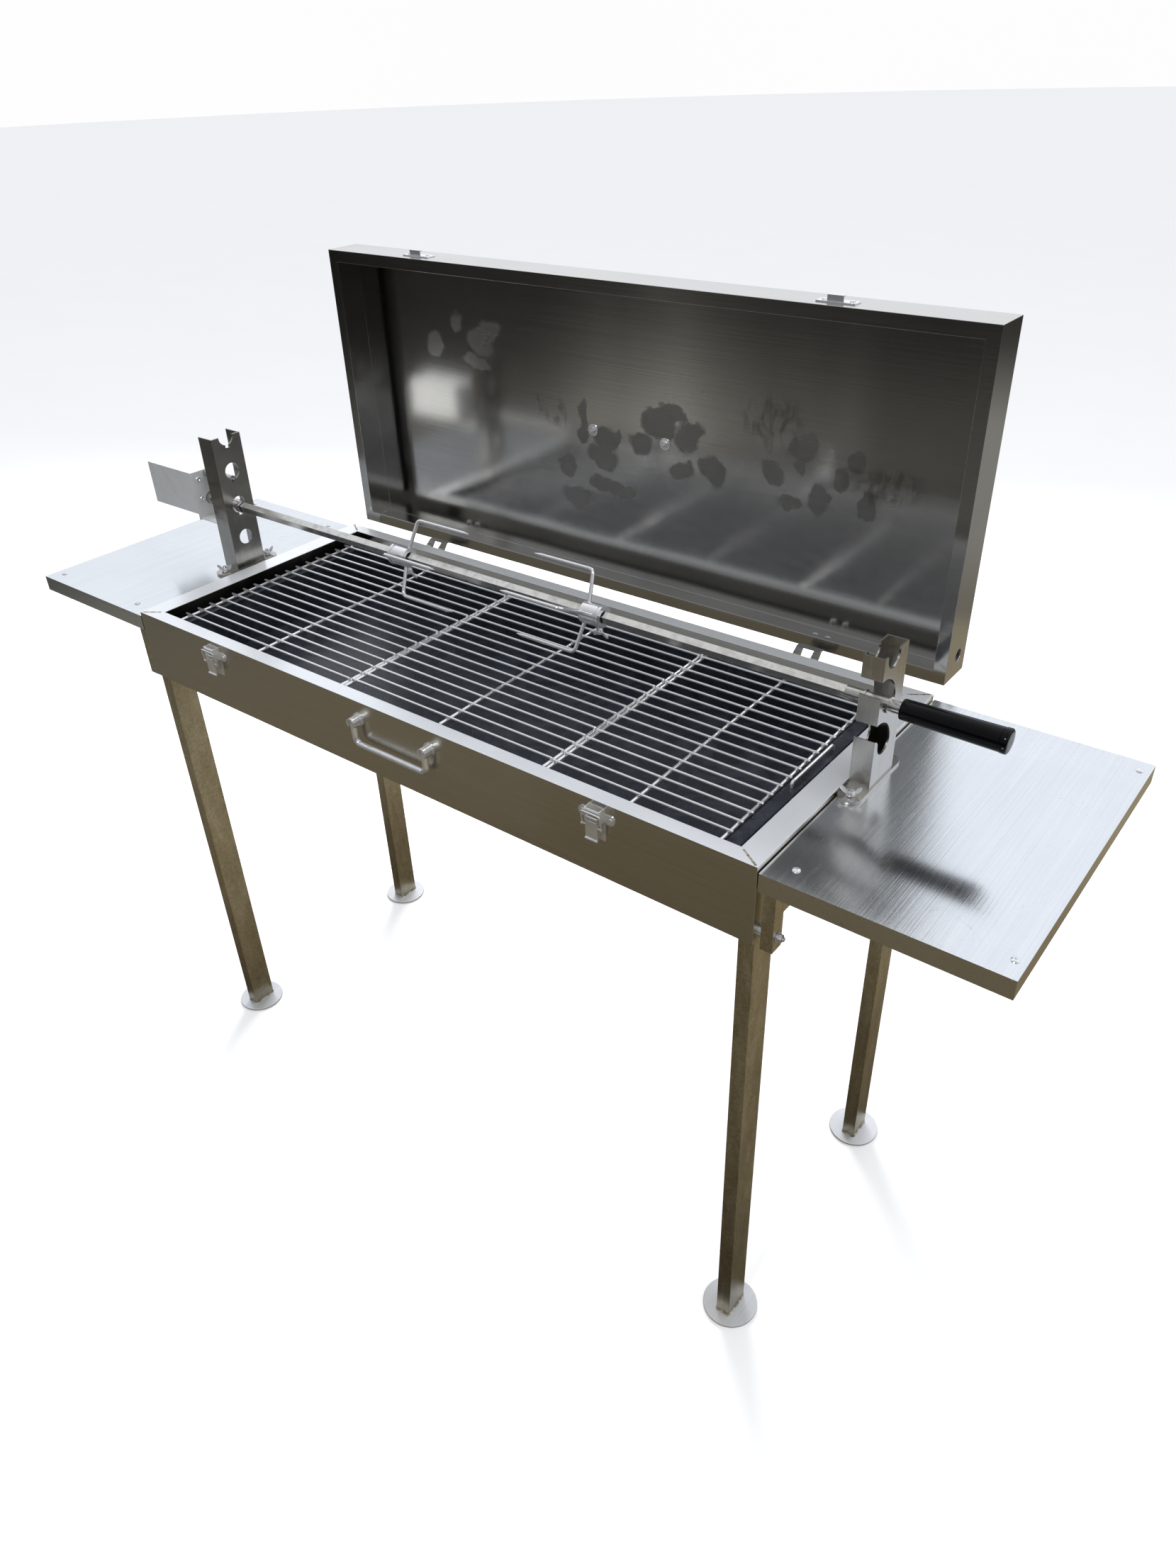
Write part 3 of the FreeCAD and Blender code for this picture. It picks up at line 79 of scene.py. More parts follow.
# ---------------------------------------------------------------- node helpers
class Nodes:
    """Small wrapper that builds a material's node graph."""

    def __init__(self, tree):
        self.tree = tree
        tree.nodes.clear()

    def add(self, kind, values=None, **props):
        node = self.tree.nodes.new(kind)
        for key, value in props.items():
            setattr(node, key, value)
        for key, value in (values or {}).items():
            self.put(node.inputs[key], value)
        return node

    def put(self, socket, value):
        if isinstance(value, bpy.types.NodeSocket):
            self.tree.links.new(value, socket)
        else:
            socket.default_value = value

    def math(self, op, a, b=0.0):
        return self.add("ShaderNodeMath", {0: a, 1: b}, operation=op).outputs[0]

    def vector(self, op, a, b):
        node = self.add("ShaderNodeVectorMath", {0: a, 1: b}, operation=op)
        return node.outputs["Value" if op == "LENGTH" else "Vector"]

    def coords(self, scale=(1, 1, 1), rotation=(0, 0, 0), offset=(0, 0, 0)):
        """Object coordinates in metres, scaled."""
        tex = self.add("ShaderNodeTexCoord")
        return self.add("ShaderNodeMapping", {"Vector": tex.outputs["Object"], "Scale": scale,
                                              "Rotation": rotation, "Location": offset}).outputs[0]

    def noise(self, vector, scale=1.0, detail=3.0, rough=0.5, distortion=0.0, output="Fac"):
        node = self.add("ShaderNodeTexNoise", {"Vector": vector, "Scale": scale, "Detail": detail,
                                               "Roughness": rough, "Distortion": distortion})
        return node.outputs[output]

    def voronoi(self, vector, scale, output="Distance"):
        return self.add("ShaderNodeTexVoronoi", {"Vector": vector, "Scale": scale}).outputs[output]

    def ramp(self, value, stops):
        """stops = [(position, grey or colour)]"""
        node = self.add("ShaderNodeValToRGB", {"Fac": value})
        elements = node.color_ramp.elements
        while len(elements) < len(stops):
            elements.new(0.5)
        for element, (position, colour) in zip(elements, stops):
            element.position = position
            element.color = (colour,) * 3 + (1,) if isinstance(colour, (int, float)) else tuple(colour)
        return node.outputs[0]

    def mix(self, factor, a, b, blend="MIX"):
        node = self.add("ShaderNodeMix", data_type="RGBA", blend_type=blend)
        self.put(node.inputs[0], factor)
        self.put(node.inputs[6], a)
        self.put(node.inputs[7], b)
        return node.outputs[2]

    def bump(self, height, strength, distance, normal=None):
        node = self.add("ShaderNodeBump", {"Height": height, "Strength": strength, "Distance": distance})
        if normal is not None:
            self.put(node.inputs["Normal"], normal)
        return node.outputs[0]

    def blot(self, where, centre, size, edge=0.35):
        """Soft-edged ellipsoid mask: 1 inside, 0 outside."""
        off = self.vector("SUBTRACT", where, tuple(centre))
        near = self.vector("DIVIDE", off, tuple(size))
        return self.ramp(self.vector("LENGTH", near, (0, 0, 0)), [(1 - edge, 1.0), (1.0, 0.0)])

    def either(self, masks):
        """Largest of several masks."""
        total = masks[0]
        for mask in masks[1:]:
            total = self.math("MAXIMUM", total, mask)
        return total


def new_material(name):
    material = bpy.data.materials.new(name)
    material.use_nodes = True
    nodes = Nodes(material.node_tree)
    shader = nodes.add("ShaderNodeBsdfPrincipled")
    out = nodes.add("ShaderNodeOutputMaterial")
    nodes.put(out.inputs["Surface"], shader.outputs[0])
    return material, nodes, shader.inputs


def rgb(r, g, b):
    """Colour from screen values 0-255."""
    def linear(value):
        level = value / 255
        return level / 12.92 if value <= 10 else ((level + 0.055) / 1.055) ** 2.4

    return (linear(r), linear(g), linear(b), 1)


# ---------------------------------------------------------------- materials
def brushed(n, s, grain, tint, rough, spread=0.06, lengthwise=True, strength=0.10):
    """Shared brushed-sheet set-up: fine lines in colour, roughness and bump, and a stretched highlight."""
    fine = n.noise(n.coords(grain), 1.0, 4.0, 0.65)
    cloud = n.noise(n.coords(), 5.0, 4.0, 0.55, 0.4)
    tone = n.math("ADD", n.math("MULTIPLY", fine, 0.55), n.math("MULTIPLY", cloud, 0.45))
    low, high = tint
    colour = n.mix(n.ramp(tone, [(0.34, 0), (0.66, 1)]), rgb(*low), rgb(*high))
    s["Metallic"].default_value = 1.0
    s["Anisotropic"].default_value = 0.6
    s["Anisotropic Rotation"].default_value = 0.25 if lengthwise else 0.0
    n.put(s["Tangent"], n.add("ShaderNodeCombineXYZ", {0: 1.0, 1: 0.02, 2: 0.03}).outputs[0])
    level = n.math("ADD", n.math("MULTIPLY", n.math("SUBTRACT", tone, 0.5), spread * 2), rough)
    normal = n.bump(fine, strength, 0.0003)
    return colour, level, normal, cloud


def scratches(n, scale=7.0, width=0.004, offset=(0, 0, 0)):
    """Thin wandering scratch lines as a mask."""
    field = n.noise(n.coords((1, 1, 1), (0.3, 0.5, 0.8), offset), scale, 2.0, 0.5, 5.0)
    return n.ramp(field, [(0.5 - width, 0), (0.5, 1), (0.5 + width, 0)])


# Where hands have wiped the inside of the lid, in mm: x and z of a group's middle from the middle of the
# handle, half width, half height, number of patches and their size.
WIPED_DARK = ((-60, -40, 60, 70, 8, 20), (80, 0, 70, 50, 7, 24), (290, -10, 90, 50, 8, 20))
WIPED_LIGHT = ((-280, 90, 70, 40, 5, 20),)
WIPED_FAINT = ((-140, 10, 25, 15, 2, 22), (300, 0, 130, 100, 2, 45))


def wiped_patches(groups):
    """Centre and half size in mm of each patch, spread evenly over its group on a loose spiral."""
    low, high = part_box("lid_handle_posts")
    handle = (low + high) / 2 / MM
    draw = random.Random(5)
    patches = []
    for x, z, wide, tall, count, size in groups:
        for k in range(count):
            angle, reach = k * math.radians(137.5), math.sqrt((k + 0.5) / count)
            patches.append((handle.x + x + wide * reach * math.cos(angle) + draw.uniform(-8, 8),
                            handle.z + z + tall * reach * math.sin(angle) + draw.uniform(-8, 8),
                            size * draw.uniform(0.6, 1.5), size * draw.uniform(0.5, 1.1)))
    return patches


def lid_steel():
    """Lid sheet: brushed lengthwise, wiped patches with hard edges, a few scratches, gentle oil-canning."""
    material, n, s = new_material("lid_sheet")
    colour, level, normal, cloud = brushed(n, s, (5, 600, 600), ((190, 189, 186), (206, 205, 202)), 0.125, 0.03,
                                           strength=0.06)
    wander = n.noise(n.coords(), 22.0, 3.0, 0.6, output="Color")
    shift = n.vector("MULTIPLY", n.vector("SUBTRACT", wander, (0.5, 0.5, 0.5)), (0.045, 0.0, 0.045))
    where = n.vector("ADD", n.coords(), shift)
    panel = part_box("lid_shell")[1].y

    def marks(groups, edge):
        return n.either([n.blot(where, (x * MM, panel, z * MM), (rx * MM, 0.03, rz * MM), edge)
                         for x, z, rx, rz in wiped_patches(groups)])

    facing = n.add("ShaderNodeSeparateXYZ", {0: n.add("ShaderNodeTexCoord").outputs["Normal"]}).outputs["Y"]
    inside = n.math("LESS_THAN", facing, -0.5)
    dark, light, faint = (n.math("MULTIPLY", inside, marks(groups, edge)) for groups, edge in
                          ((WIPED_DARK, 0.22), (WIPED_LIGHT, 0.25), (WIPED_FAINT, 0.5)))
    smear = n.math("MULTIPLY", faint, n.ramp(n.noise(n.coords((60, 60, 25)), 1.0, 3.0, 0.6, 1.0),
                                             [(0.45, 0), (0.6, 1)]))
    colour = n.mix(n.math("MULTIPLY", dark, 0.5), colour, rgb(186, 184, 180), "MULTIPLY")
    colour = n.mix(n.math("MULTIPLY", smear, 0.55), colour, rgb(168, 165, 160), "MULTIPLY")
    blur = n.math("MAXIMUM", n.math("MULTIPLY", dark, 0.16), n.math("MULTIPLY", light, 0.09))
    level = n.math("ADD", level, blur)
    line = n.math("MULTIPLY", scratches(n), n.ramp(cloud, [(0.52, 0), (0.6, 1)]))
    n.put(s["Base Color"], n.mix(n.math("MULTIPLY", line, 0.35), colour, rgb(120, 118, 116)))
    n.put(s["Roughness"], n.math("ADD", level, n.math("MULTIPLY", line, 0.08)))
    wave = n.noise(n.coords((1.0, 1.0, 0.35), offset=(5, 2, 1)), 5.0, 1.0, 0.4)
    n.put(s["Normal"], n.bump(wave, 0.12, 0.02, normal))
    return material


def box_steel():
    """Firebox sheet: warmer, satin, with faint rubbed marks and a wavy front; faces that point up, such as the
    rim top, get a painted sky sheen.
    """
    material, n, s = new_material("box_sheet")
    colour, level, normal, cloud = brushed(n, s, (6, 700, 700), ((200, 197, 188), (215, 212, 203)), 0.24)
    rub = n.math("MULTIPLY", n.ramp(cloud, [(0.55, 0), (0.72, 1)]), 0.35)
    line = n.math("MULTIPLY", scratches(n, 5.0, 0.003, (2, 1, 4)), 0.35)
    colour = n.mix(rub, colour, rgb(206, 200, 184))
    colour = n.mix(line, colour, rgb(224, 220, 208))
    # Painted sheen: every face that points up (the rim top) is made lighter and less metallic, standing in for
    # the bright sky it mirrors.
    height = n.add("ShaderNodeSeparateXYZ", {0: n.add("ShaderNodeTexCoord").outputs["Normal"]}).outputs["Z"]
    rim = n.math("GREATER_THAN", height, 0.8)
    n.put(s["Base Color"], n.mix(rim, colour, n.mix(line, rgb(236, 239, 243), rgb(214, 216, 219))))
    n.put(s["Metallic"], n.math("SUBTRACT", 1.0, n.math("MULTIPLY", rim, 0.5)))
    n.put(s["Roughness"], n.math("ADD", level, n.math("MULTIPLY", rub, 0.2)))
    wave = n.noise(n.coords((1, 1, 1), offset=(5, 2, 1)), 7.0, 1.0, 0.4)
    n.put(s["Normal"], n.bump(wave, 0.25, 0.012, normal))
    return material


def table_steel():
    """Side-table sheet: bright, brushed front to back, fine handling scratches."""
    material, n, s = new_material("table_sheet")
    colour, level, normal, cloud = brushed(n, s, (700, 5, 700), ((216, 220, 224), (233, 236, 239)), 0.16,
                                           0.05, lengthwise=False, strength=0.3)
    line = n.math("MULTIPLY", scratches(n, 12.0, 0.004, (1, 3, 2)), n.ramp(cloud, [(0.5, 0), (0.62, 1)]))
    n.put(s["Base Color"], n.mix(n.math("MULTIPLY", line, 0.5), colour, rgb(150, 150, 150)))
    n.put(s["Roughness"], n.math("ADD", level, n.math("MULTIPLY", line, 0.12)))
    wave = n.noise(n.coords((1, 1, 1), offset=(1, 7, 1)), 4.0, 1.0, 0.4)
    n.put(s["Normal"], n.bump(wave, 0.22, 0.012, normal))
    return material


def post_steel():
    """Satin folded strip, with ripples left by the press."""
    material, n, s = new_material("post_sheet")
    colour, level, normal, cloud = brushed(n, s, (420, 420, 6), ((176, 173, 167), (196, 194, 190)), 0.24, 0.04,
                                           lengthwise=False, strength=0.03)
    n.put(s["Base Color"], colour)
    n.put(s["Roughness"], level)
    ripple = n.noise(n.coords((14, 14, 30), offset=(4, 1, 2)), 1.0, 1.5, 0.4, 0.6)
    n.put(s["Normal"], n.bump(ripple, 0.3, 0.004, normal))
    return material


def galvanised():
    """Zinc-coated tube: soft spangle, drawn streaks, stains, lighter flakes partly painted as glints, and
    painted shade towards the bottom.
    """
    material, n, s = new_material("leg_zinc")
    spangle = n.voronoi(n.coords(), 330.0, "Color")
    grey = n.add("ShaderNodeRGBToBW", {0: spangle}).outputs[0]
    stain = n.noise(n.coords((1, 1, 0.22)), 60.0, 5.0, 0.68, 0.6)
    patch = n.noise(n.coords((1, 1, 0.5), offset=(2, 4, 1)), 11.0, 4.0, 0.6)
    tone = n.math("ADD", n.math("MULTIPLY", grey, 0.14),
                  n.math("ADD", n.math("MULTIPLY", stain, 0.42), n.math("MULTIPLY", patch, 0.44)))
    colour = n.ramp(tone, [(0.32, rgb(172, 165, 146)), (0.48, rgb(206, 200, 182)), (0.58, rgb(226, 221, 205)),
                           (0.70, rgb(244, 241, 230))])
    # Near-white dots in some patches: lighter zinc flakes, partly painted glints for the sparkle of the zinc.
    flake_and_glint = n.ramp(n.voronoi(n.coords((1, 1, 0.7), offset=(1, 1, 1)), 140.0), [(0.07, 1), (0.14, 0)])
    few = n.ramp(patch, [(0.54, 0), (0.62, 1)])
    colour = n.mix(n.math("MULTIPLY", n.math("MULTIPLY", flake_and_glint, few), 0.8), colour, rgb(250, 248, 238))
    # Painted shade: the tube is made darker towards the bottom, for the dark ground mirrored low on the legs.
    height = n.add("ShaderNodeSeparateXYZ", {0: n.coords()}).outputs["Z"]
    low_painted_shade = n.ramp(n.math("ADD", height, n.math("MULTIPLY", patch, 0.1)), [(0.10, 1), (0.42, 0)])
    n.put(s["Base Color"], n.mix(n.math("MULTIPLY", low_painted_shade, 0.7), colour, rgb(150, 146, 136), "MULTIPLY"))
    s["Metallic"].default_value = 1.0
    n.put(s["Roughness"], n.math("ADD", n.math("MULTIPLY", stain, 0.30), 0.18))
    n.put(s["Normal"], n.bump(grey, 0.10, 0.0004, n.bump(stain, 0.30, 0.0012)))
    return material


def disc_steel():
    """Foot and base plates: dull rolled sheet with weld discolouration."""
    material, n, s = new_material("plate_sheet")
    colour, level, normal, cloud = brushed(n, s, (400, 12, 400), ((222, 224, 228), (238, 240, 243)), 0.42,
                                           lengthwise=False)
    n.put(s["Base Color"], n.mix(n.ramp(cloud, [(0.55, 0), (0.75, 0.4)]), colour, rgb(176, 168, 152)))
    s["Metallic"].default_value = 0.55
    n.put(s["Roughness"], level)
    n.put(s["Normal"], normal)
    return material


def bright_metal(name, colour, rough=(0.06, 0.16), grain=(900, 900, 900), wear=0.2, metallic=1.0):
    """Plated or polished metal with faint drawing lines and dulled spots."""
    material, n, s = new_material(name)
    fine = n.noise(n.coords(grain), 1.0, 3.0, 0.6)
    dull = n.noise(n.coords(), 70.0, 4.0, 0.6, 0.5)
    r, g, b = colour
    n.put(s["Base Color"], n.mix(n.math("MULTIPLY", n.ramp(dull, [(0.42, 0), (0.7, 1)]), wear), rgb(r, g, b),
                                 rgb(r * 0.62, g * 0.61, b * 0.58)))
    s["Metallic"].default_value = metallic
    low, high = rough
    n.put(s["Roughness"], n.math("ADD", n.math("MULTIPLY", dull, high - low), low))
    n.put(s["Normal"], n.bump(fine, 0.08, 0.0002))
    return material


def coated(name, colour, accent, rough=(0.3, 0.5), grain=700.0, bump=0.1, gloss=0.5):
    """Paint, enamel or plastic with a fine surface texture and faint marks."""
    material, n, s = new_material(name)
    peel = n.noise(n.coords(), grain, 2.0, 0.5)
    mark = n.noise(n.coords(offset=(1, 5, 2)), 22.0, 5.0, 0.65, 1.0)
    n.put(s["Base Color"], n.mix(n.ramp(mark, [(0.45, 0), (0.72, 1)]), rgb(*colour), rgb(*accent)))
    low, high = rough
    n.put(s["Roughness"], n.math("ADD", n.math("MULTIPLY", mark, high - low), low))
    n.put(s["Normal"], n.bump(peel, bump, 0.0003))
    s["Specular IOR Level"].default_value = gloss
    return material


def weld_metal():
    """Weld bead: rippled, straw and blue heat tint."""
    material, n, s = new_material("weld_bead")
    heat = n.noise(n.coords(), 160.0, 3.0, 0.6)
    n.put(s["Base Color"], n.ramp(heat, [(0.32, rgb(104, 98, 96)), (0.48, rgb(168, 158, 140)),
                                         (0.62, rgb(214, 208, 196)), (0.72, rgb(126, 130, 148))]))
    s["Metallic"].default_value = 1.0
    n.put(s["Roughness"], n.math("ADD", n.math("MULTIPLY", heat, 0.3), 0.22))
    n.put(s["Normal"], n.bump(n.noise(n.coords(), 900.0, 2.0, 0.5), 0.4, 0.0004))
    return material


MAT = {
    "lid": lid_steel(), "box": box_steel(), "table": table_steel(), "post": post_steel(), "leg": galvanised(),
    "foot": disc_steel(), "weld": weld_metal(),
    "chrome": bright_metal("chrome_wire", (244, 244, 246), rough=(0.10, 0.22), wear=0.08, metallic=0.8),
    "hardware": bright_metal("chrome_hardware", (240, 241, 243), rough=(0.08, 0.24), wear=0.2, metallic=0.7),
    "zinc": bright_metal("zinc_hardware", (196, 197, 198), rough=(0.2, 0.36), wear=0.5),
    "bright": bright_metal("bright_steel", (206, 204, 200), rough=(0.14, 0.28), grain=(5, 800, 800), wear=0.35),
    "enamel": coated("black_enamel", (38, 42, 50), (62, 68, 77), rough=(0.2, 0.36), grain=500.0, bump=0.15),
    "white": coated("white_coat", (226, 227, 228), (214, 215, 214), rough=(0.32, 0.45), grain=900.0, bump=0.12),
    "grip": coated("black_gloss", (9, 9, 11), (14, 14, 16), rough=(0.05, 0.10), grain=300.0, bump=0.02,
                   gloss=0.18),
    "plastic": coated("black_plastic", (18, 18, 19), (28, 28, 29), rough=(0.4, 0.55), bump=0.2),
    "cast": coated("cast_block", (60, 61, 63), (84, 84, 84), rough=(0.5, 0.7), grain=400.0, bump=0.5),
}

NODE_MATERIAL = {
    "firebox": "box", "lid_shell": "lid", "table_left": "table", "table_right": "table", "tray_ledges": "box",
    "charcoal_tray": "enamel", "motor_housing": "white", "motor_plate": "white", "spit_handle": "grip",
    "motor_rocker": "plastic", "motor_inlet": "plastic", "motor_core": "cast", "spit_rod": "bright",
    "motor_spindle": "bright", "table_screws": "hardware", "bracket_bolts": "hardware", "lid_nuts": "hardware",
    "motor_screws": "hardware", "post_studs": "zinc", "motor_stud": "zinc", "hinge_lower": "zinc",
    "hinge_upper": "zinc", "leg_plugs": "leg", "table_frame_left": "leg", "table_frame_right": "leg",
    "post_base_left": "post", "post_base_right": "post",
}
PREFIX_MATERIAL = {
    "grill": "chrome", "leg_": "leg", "foot_": "foot", "fork_": "chrome", "latch": "hardware",
    "wing_nut": "hardware", "post_": "post",
}
for prefix, key in PREFIX_MATERIAL.items():
    for node in frame["nodes"]:
        if node.startswith(prefix):
            NODE_MATERIAL.setdefault(node, key)
for node in frame["nodes"]:
    NODE_MATERIAL.setdefault(node, "hardware")
for node, obj in frame["nodes"].items():
    obj.data.materials.clear()
    obj.data.materials.append(MAT[NODE_MATERIAL[node]])


# ---------------------------------------------------------------- mesh helpers
def place_piece(obj, body, nodes=()):
    """The piece's place in the frame: its body and the nodes that it stands for."""
    if nodes:
        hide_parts(*nodes)
    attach(obj, body)
    return obj


def make_piece(name, work, material, body, nodes=(), sharp=32):
    """Turn a bmesh into a piece that rides on a body and may stand for CAD nodes."""
    bmesh.ops.recalc_face_normals(work, faces=work.faces)
    mesh = bpy.data.meshes.new(name)
    work.to_mesh(mesh)
    work.free()
    mesh.materials.append(MAT[material])
    obj = bpy.data.objects.new(name, mesh)
    bpy.context.scene.collection.objects.link(obj)
    mesh.shade_smooth()
    mesh.set_sharp_from_angle(angle=math.radians(sharp))
    return place_piece(obj, body, nodes)


def apply_modifiers(obj):
    """Swap the mesh for its evaluated copy, so that no modifier is left."""
    bpy.context.view_layer.update()
    depsgraph = bpy.context.evaluated_depsgraph_get()
    mesh = bpy.data.meshes.new_from_object(obj.evaluated_get(depsgraph))
    obj.modifiers.clear()
    obj.data = mesh


def skin(node, width, segments=2, angle=35):
    """A piece with the node's own shape and softened edges, which stands for the node."""
    mesh = frame["nodes"][node].data.copy()
    work = bmesh.new()
    work.from_mesh(mesh)
    bmesh.ops.remove_doubles(work, verts=work.verts, dist=2e-6)
    bmesh.ops.dissolve_limit(work, angle_limit=math.radians(0.6), verts=work.verts, edges=work.edges)
    work.to_mesh(mesh)
    work.free()
    obj = bpy.data.objects.new(node + "_skin", mesh)
    bpy.context.scene.collection.objects.link(obj)
    bevel = obj.modifiers.new("edges", "BEVEL")
    bevel.width, bevel.segments, bevel.limit_method = width * MM, segments, "ANGLE"
    bevel.angle_limit = math.radians(angle)
    bevel.use_clamp_overlap = True
    apply_modifiers(obj)
    obj.data.shade_smooth()
    obj.data.set_sharp_from_angle(angle=math.radians(50))
    level = obj.modifiers.new("level", "WEIGHTED_NORMAL")
    level.mode, level.weight, level.keep_sharp = "FACE_AREA", 100, True
    apply_modifiers(obj)
    obj.data.name = node + "_skin"
    return place_piece(obj, BODY_OF[node], (node,))


def islands(node):
    """Lowest and highest corners of each separate solid of a node."""
    work = bmesh.new()
    work.from_mesh(frame["nodes"][node].data)
    bmesh.ops.remove_doubles(work, verts=work.verts, dist=2e-6)
    left, found = set(work.verts), []
    while left:
        stack, group = [left.pop()], []
        while stack:
            vert = stack.pop()
            group.append(vert.co.copy())
            for edge in vert.link_edges:
                other = edge.other_vert(vert)
                if other in left:
                    left.remove(other)
                    stack.append(other)
        found.append((Vector([min(c[i] for c in group) for i in range(3)]),
                      Vector([max(c[i] for c in group) for i in range(3)])))
    work.free()
    return sorted(found, key=lambda pair: tuple(round(v, 4) for v in pair[0]))


def facing(axis, turn=0.0):
    """Rotation that points local Z along an axis, after a turn about it."""
    return axis.to_track_quat("Z", "Y").to_matrix().to_4x4() @ Matrix.Rotation(turn, 4, "Z")


def turned(work, profile, at, axis, sides=32, flats=None, turn=0.0):
    """Revolve (radius, height) points in mm about an axis; flats = half width that cuts it to a hexagon."""
    place = Matrix.Translation(at) @ facing(axis, turn)
    rings = []
    for radius, height in profile:
        ring = []
        for k in range(1 if radius == 0 else sides):
            angle = 2 * math.pi * k / sides
            reach = radius
            if flats:
                reach = min(radius, flats / math.cos((angle + math.pi / 6) % (math.pi / 3) - math.pi / 6))
            point = Vector((reach * math.cos(angle), reach * math.sin(angle), height))
            ring.append(work.verts.new(place @ (point * MM)))
        rings.append(ring)
    for low, high in zip(rings, rings[1:]):
        for k in range(sides):
            quad = [low[k % len(low)], low[(k + 1) % len(low)],
                    high[(k + 1) % len(high)], high[k % len(high)]]
            corners = [v for i, v in enumerate(quad) if v not in quad[:i]]
            if len(corners) > 2:
                work.faces.new(corners)


def thread(radius, start, end, pitch=0.8, depth=0.35):
    """Profile of a threaded length with a chamfered end."""
    points, height = [(radius - depth, start)], start
    while height + pitch < end:
        points += [(radius, height + pitch * 0.5), (radius - depth, height + pitch)]
        height += pitch
    return points + [(radius - depth - 0.4, end), (0, end)]


def plate(work, outline, thick, place, round_edge=0.5, segments=3):
    """Plate with rounded edges from an outline (mm) in local XZ, centred on local Y = 0."""
    before = set(work.verts)
    front = [work.verts.new(Vector((x, -thick / 2, z)) * MM) for x, z in outline]
    back = [work.verts.new(Vector((x, thick / 2, z)) * MM) for x, z in outline]
    faces = [work.faces.new(front), work.faces.new(list(reversed(back)))]
    for i in range(len(outline)):
        j = (i + 1) % len(outline)
        faces.append(work.faces.new([front[j], front[i], back[i], back[j]]))
    edges = list({edge for face in faces for edge in face.edges})
    bmesh.ops.bevel(work, geom=edges, offset=round_edge * MM, segments=segments, affect="EDGES",
                    clamp_overlap=True)
    fresh = [v for v in work.verts if v not in before]
    bmesh.ops.transform(work, matrix=place, verts=fresh)


def bead(work, start, end, radius, count, flat=0.6, normal=Z_AXIS):
    """Row of overlapping weld ripples from start to end, in metres; radius in mm."""
    for k in range(count):
        t = (k + 0.5) / count
        size = radius * MM * random.uniform(0.85, 1.15)
        ripple = Matrix.Diagonal((size, size, size * flat, 1))
        place = Matrix.Translation(start.lerp(end, t)) @ facing(normal) @ ripple
        bmesh.ops.create_icosphere(work, subdivisions=2, radius=1.0, matrix=place)


def wire(work, start, end, radius, sides=14):
    """Round bar with domed ends; start and end in metres, radius in mm."""
    along = end - start
    length = along.length / MM
    r = radius
    profile = [(0, 0), (r * 0.6, r * 0.12), (r * 0.92, r * 0.45), (r, r), (r, length - r),
               (r * 0.92, length - r * 0.45), (r * 0.6, length - r * 0.12), (0, length)]
    turned(work, profile, start, along, sides)


# ---------------------------------------------------------------- softened copies of the folded and cut parts
EDGE_WIDTH = {
    "firebox": 0.55, "lid_shell": 0.55, "table_left": 0.5, "table_right": 0.5, "tray_ledges": 0.3,
    "charcoal_tray": 0.45, "motor_housing": 0.55, "motor_plate": 0.4, "post_left": 0.6, "post_right": 0.6,
    "post_base_left": 0.6, "post_base_right": 0.6, "lid_keepers": 0.35, "hinge_lower": 0.5, "hinge_upper": 0.5,
    "front_handle_posts": 0.7, "lid_handle_posts": 0.7, "spit_rod": 0.55, "motor_rocker": 0.6,
    "motor_inlet": 0.6, "motor_spindle": 0.5, "motor_stud": 0.5, "table_frame_left": 1.2,
    "table_frame_right": 1.2,
}
for node, width in EDGE_WIDTH.items():
    skin(node, width)
for corner in ("front_left", "front_right", "back_left", "back_right"):
    skin("leg_" + corner, 0.7, 3)
    skin("foot_" + corner, 0.7)
for side in ("left", "right"):
    skin("latch_base_" + side, 0.3)
    skin("latch_lever_" + side, 0.35)
    skin("fork_" + side, 0.4)


# ---------------------------------------------------------------- fasteners
def cross_head(radius, height):
    """Pan head with a cross recess, as a mesh in local coordinates, seat at z = 0."""
    work = bmesh.new()
    turned(work, [(0, 0), (radius, 0), (radius, height * 0.35), (radius * 0.86, height * 0.72),
                  (radius * 0.55, height * 0.95), (0, height)], Vector(), Z_AXIS, 40)
    head_mesh = bpy.data.meshes.new("head")
    bmesh.ops.recalc_face_normals(work, faces=work.faces)
    work.to_mesh(head_mesh)
    work.free()
    head = bpy.data.objects.new("head", head_mesh)
    bpy.context.scene.collection.objects.link(head)
    for turn in (0, 90):
        work = bmesh.new()
        arm = radius * 0.5
        top, deep = (arm, height * 1.2), (arm * 0.35, height * 0.25)
        corners = [(-top[0], top[1]), top, deep, (-deep[0], deep[1])]
        plate(work, corners, radius * 0.22, Matrix.Rotation(math.radians(turn), 4, "Z"), 0.02, 1)
        bmesh.ops.recalc_face_normals(work, faces=work.faces)
        tool_mesh = bpy.data.meshes.new("recess")
        work.to_mesh(tool_mesh)
        work.free()
        tool = bpy.data.objects.new("recess", tool_mesh)
        bpy.context.scene.collection.objects.link(tool)
        carve = head.modifiers.new("carve", "BOOLEAN")
        carve.operation, carve.object, carve.solver = "DIFFERENCE", tool, "EXACT"
        apply_modifiers(head)
        bpy.data.objects.remove(tool)
    mesh = head.data
    bpy.data.objects.remove(head)
    return mesh


def add_mesh(work, mesh, place):
    """Copy a mesh into a bmesh at a place."""
    before = set(work.verts)
    work.from_mesh(mesh)
    bmesh.ops.transform(work, matrix=place, verts=[v for v in work.verts if v not in before])


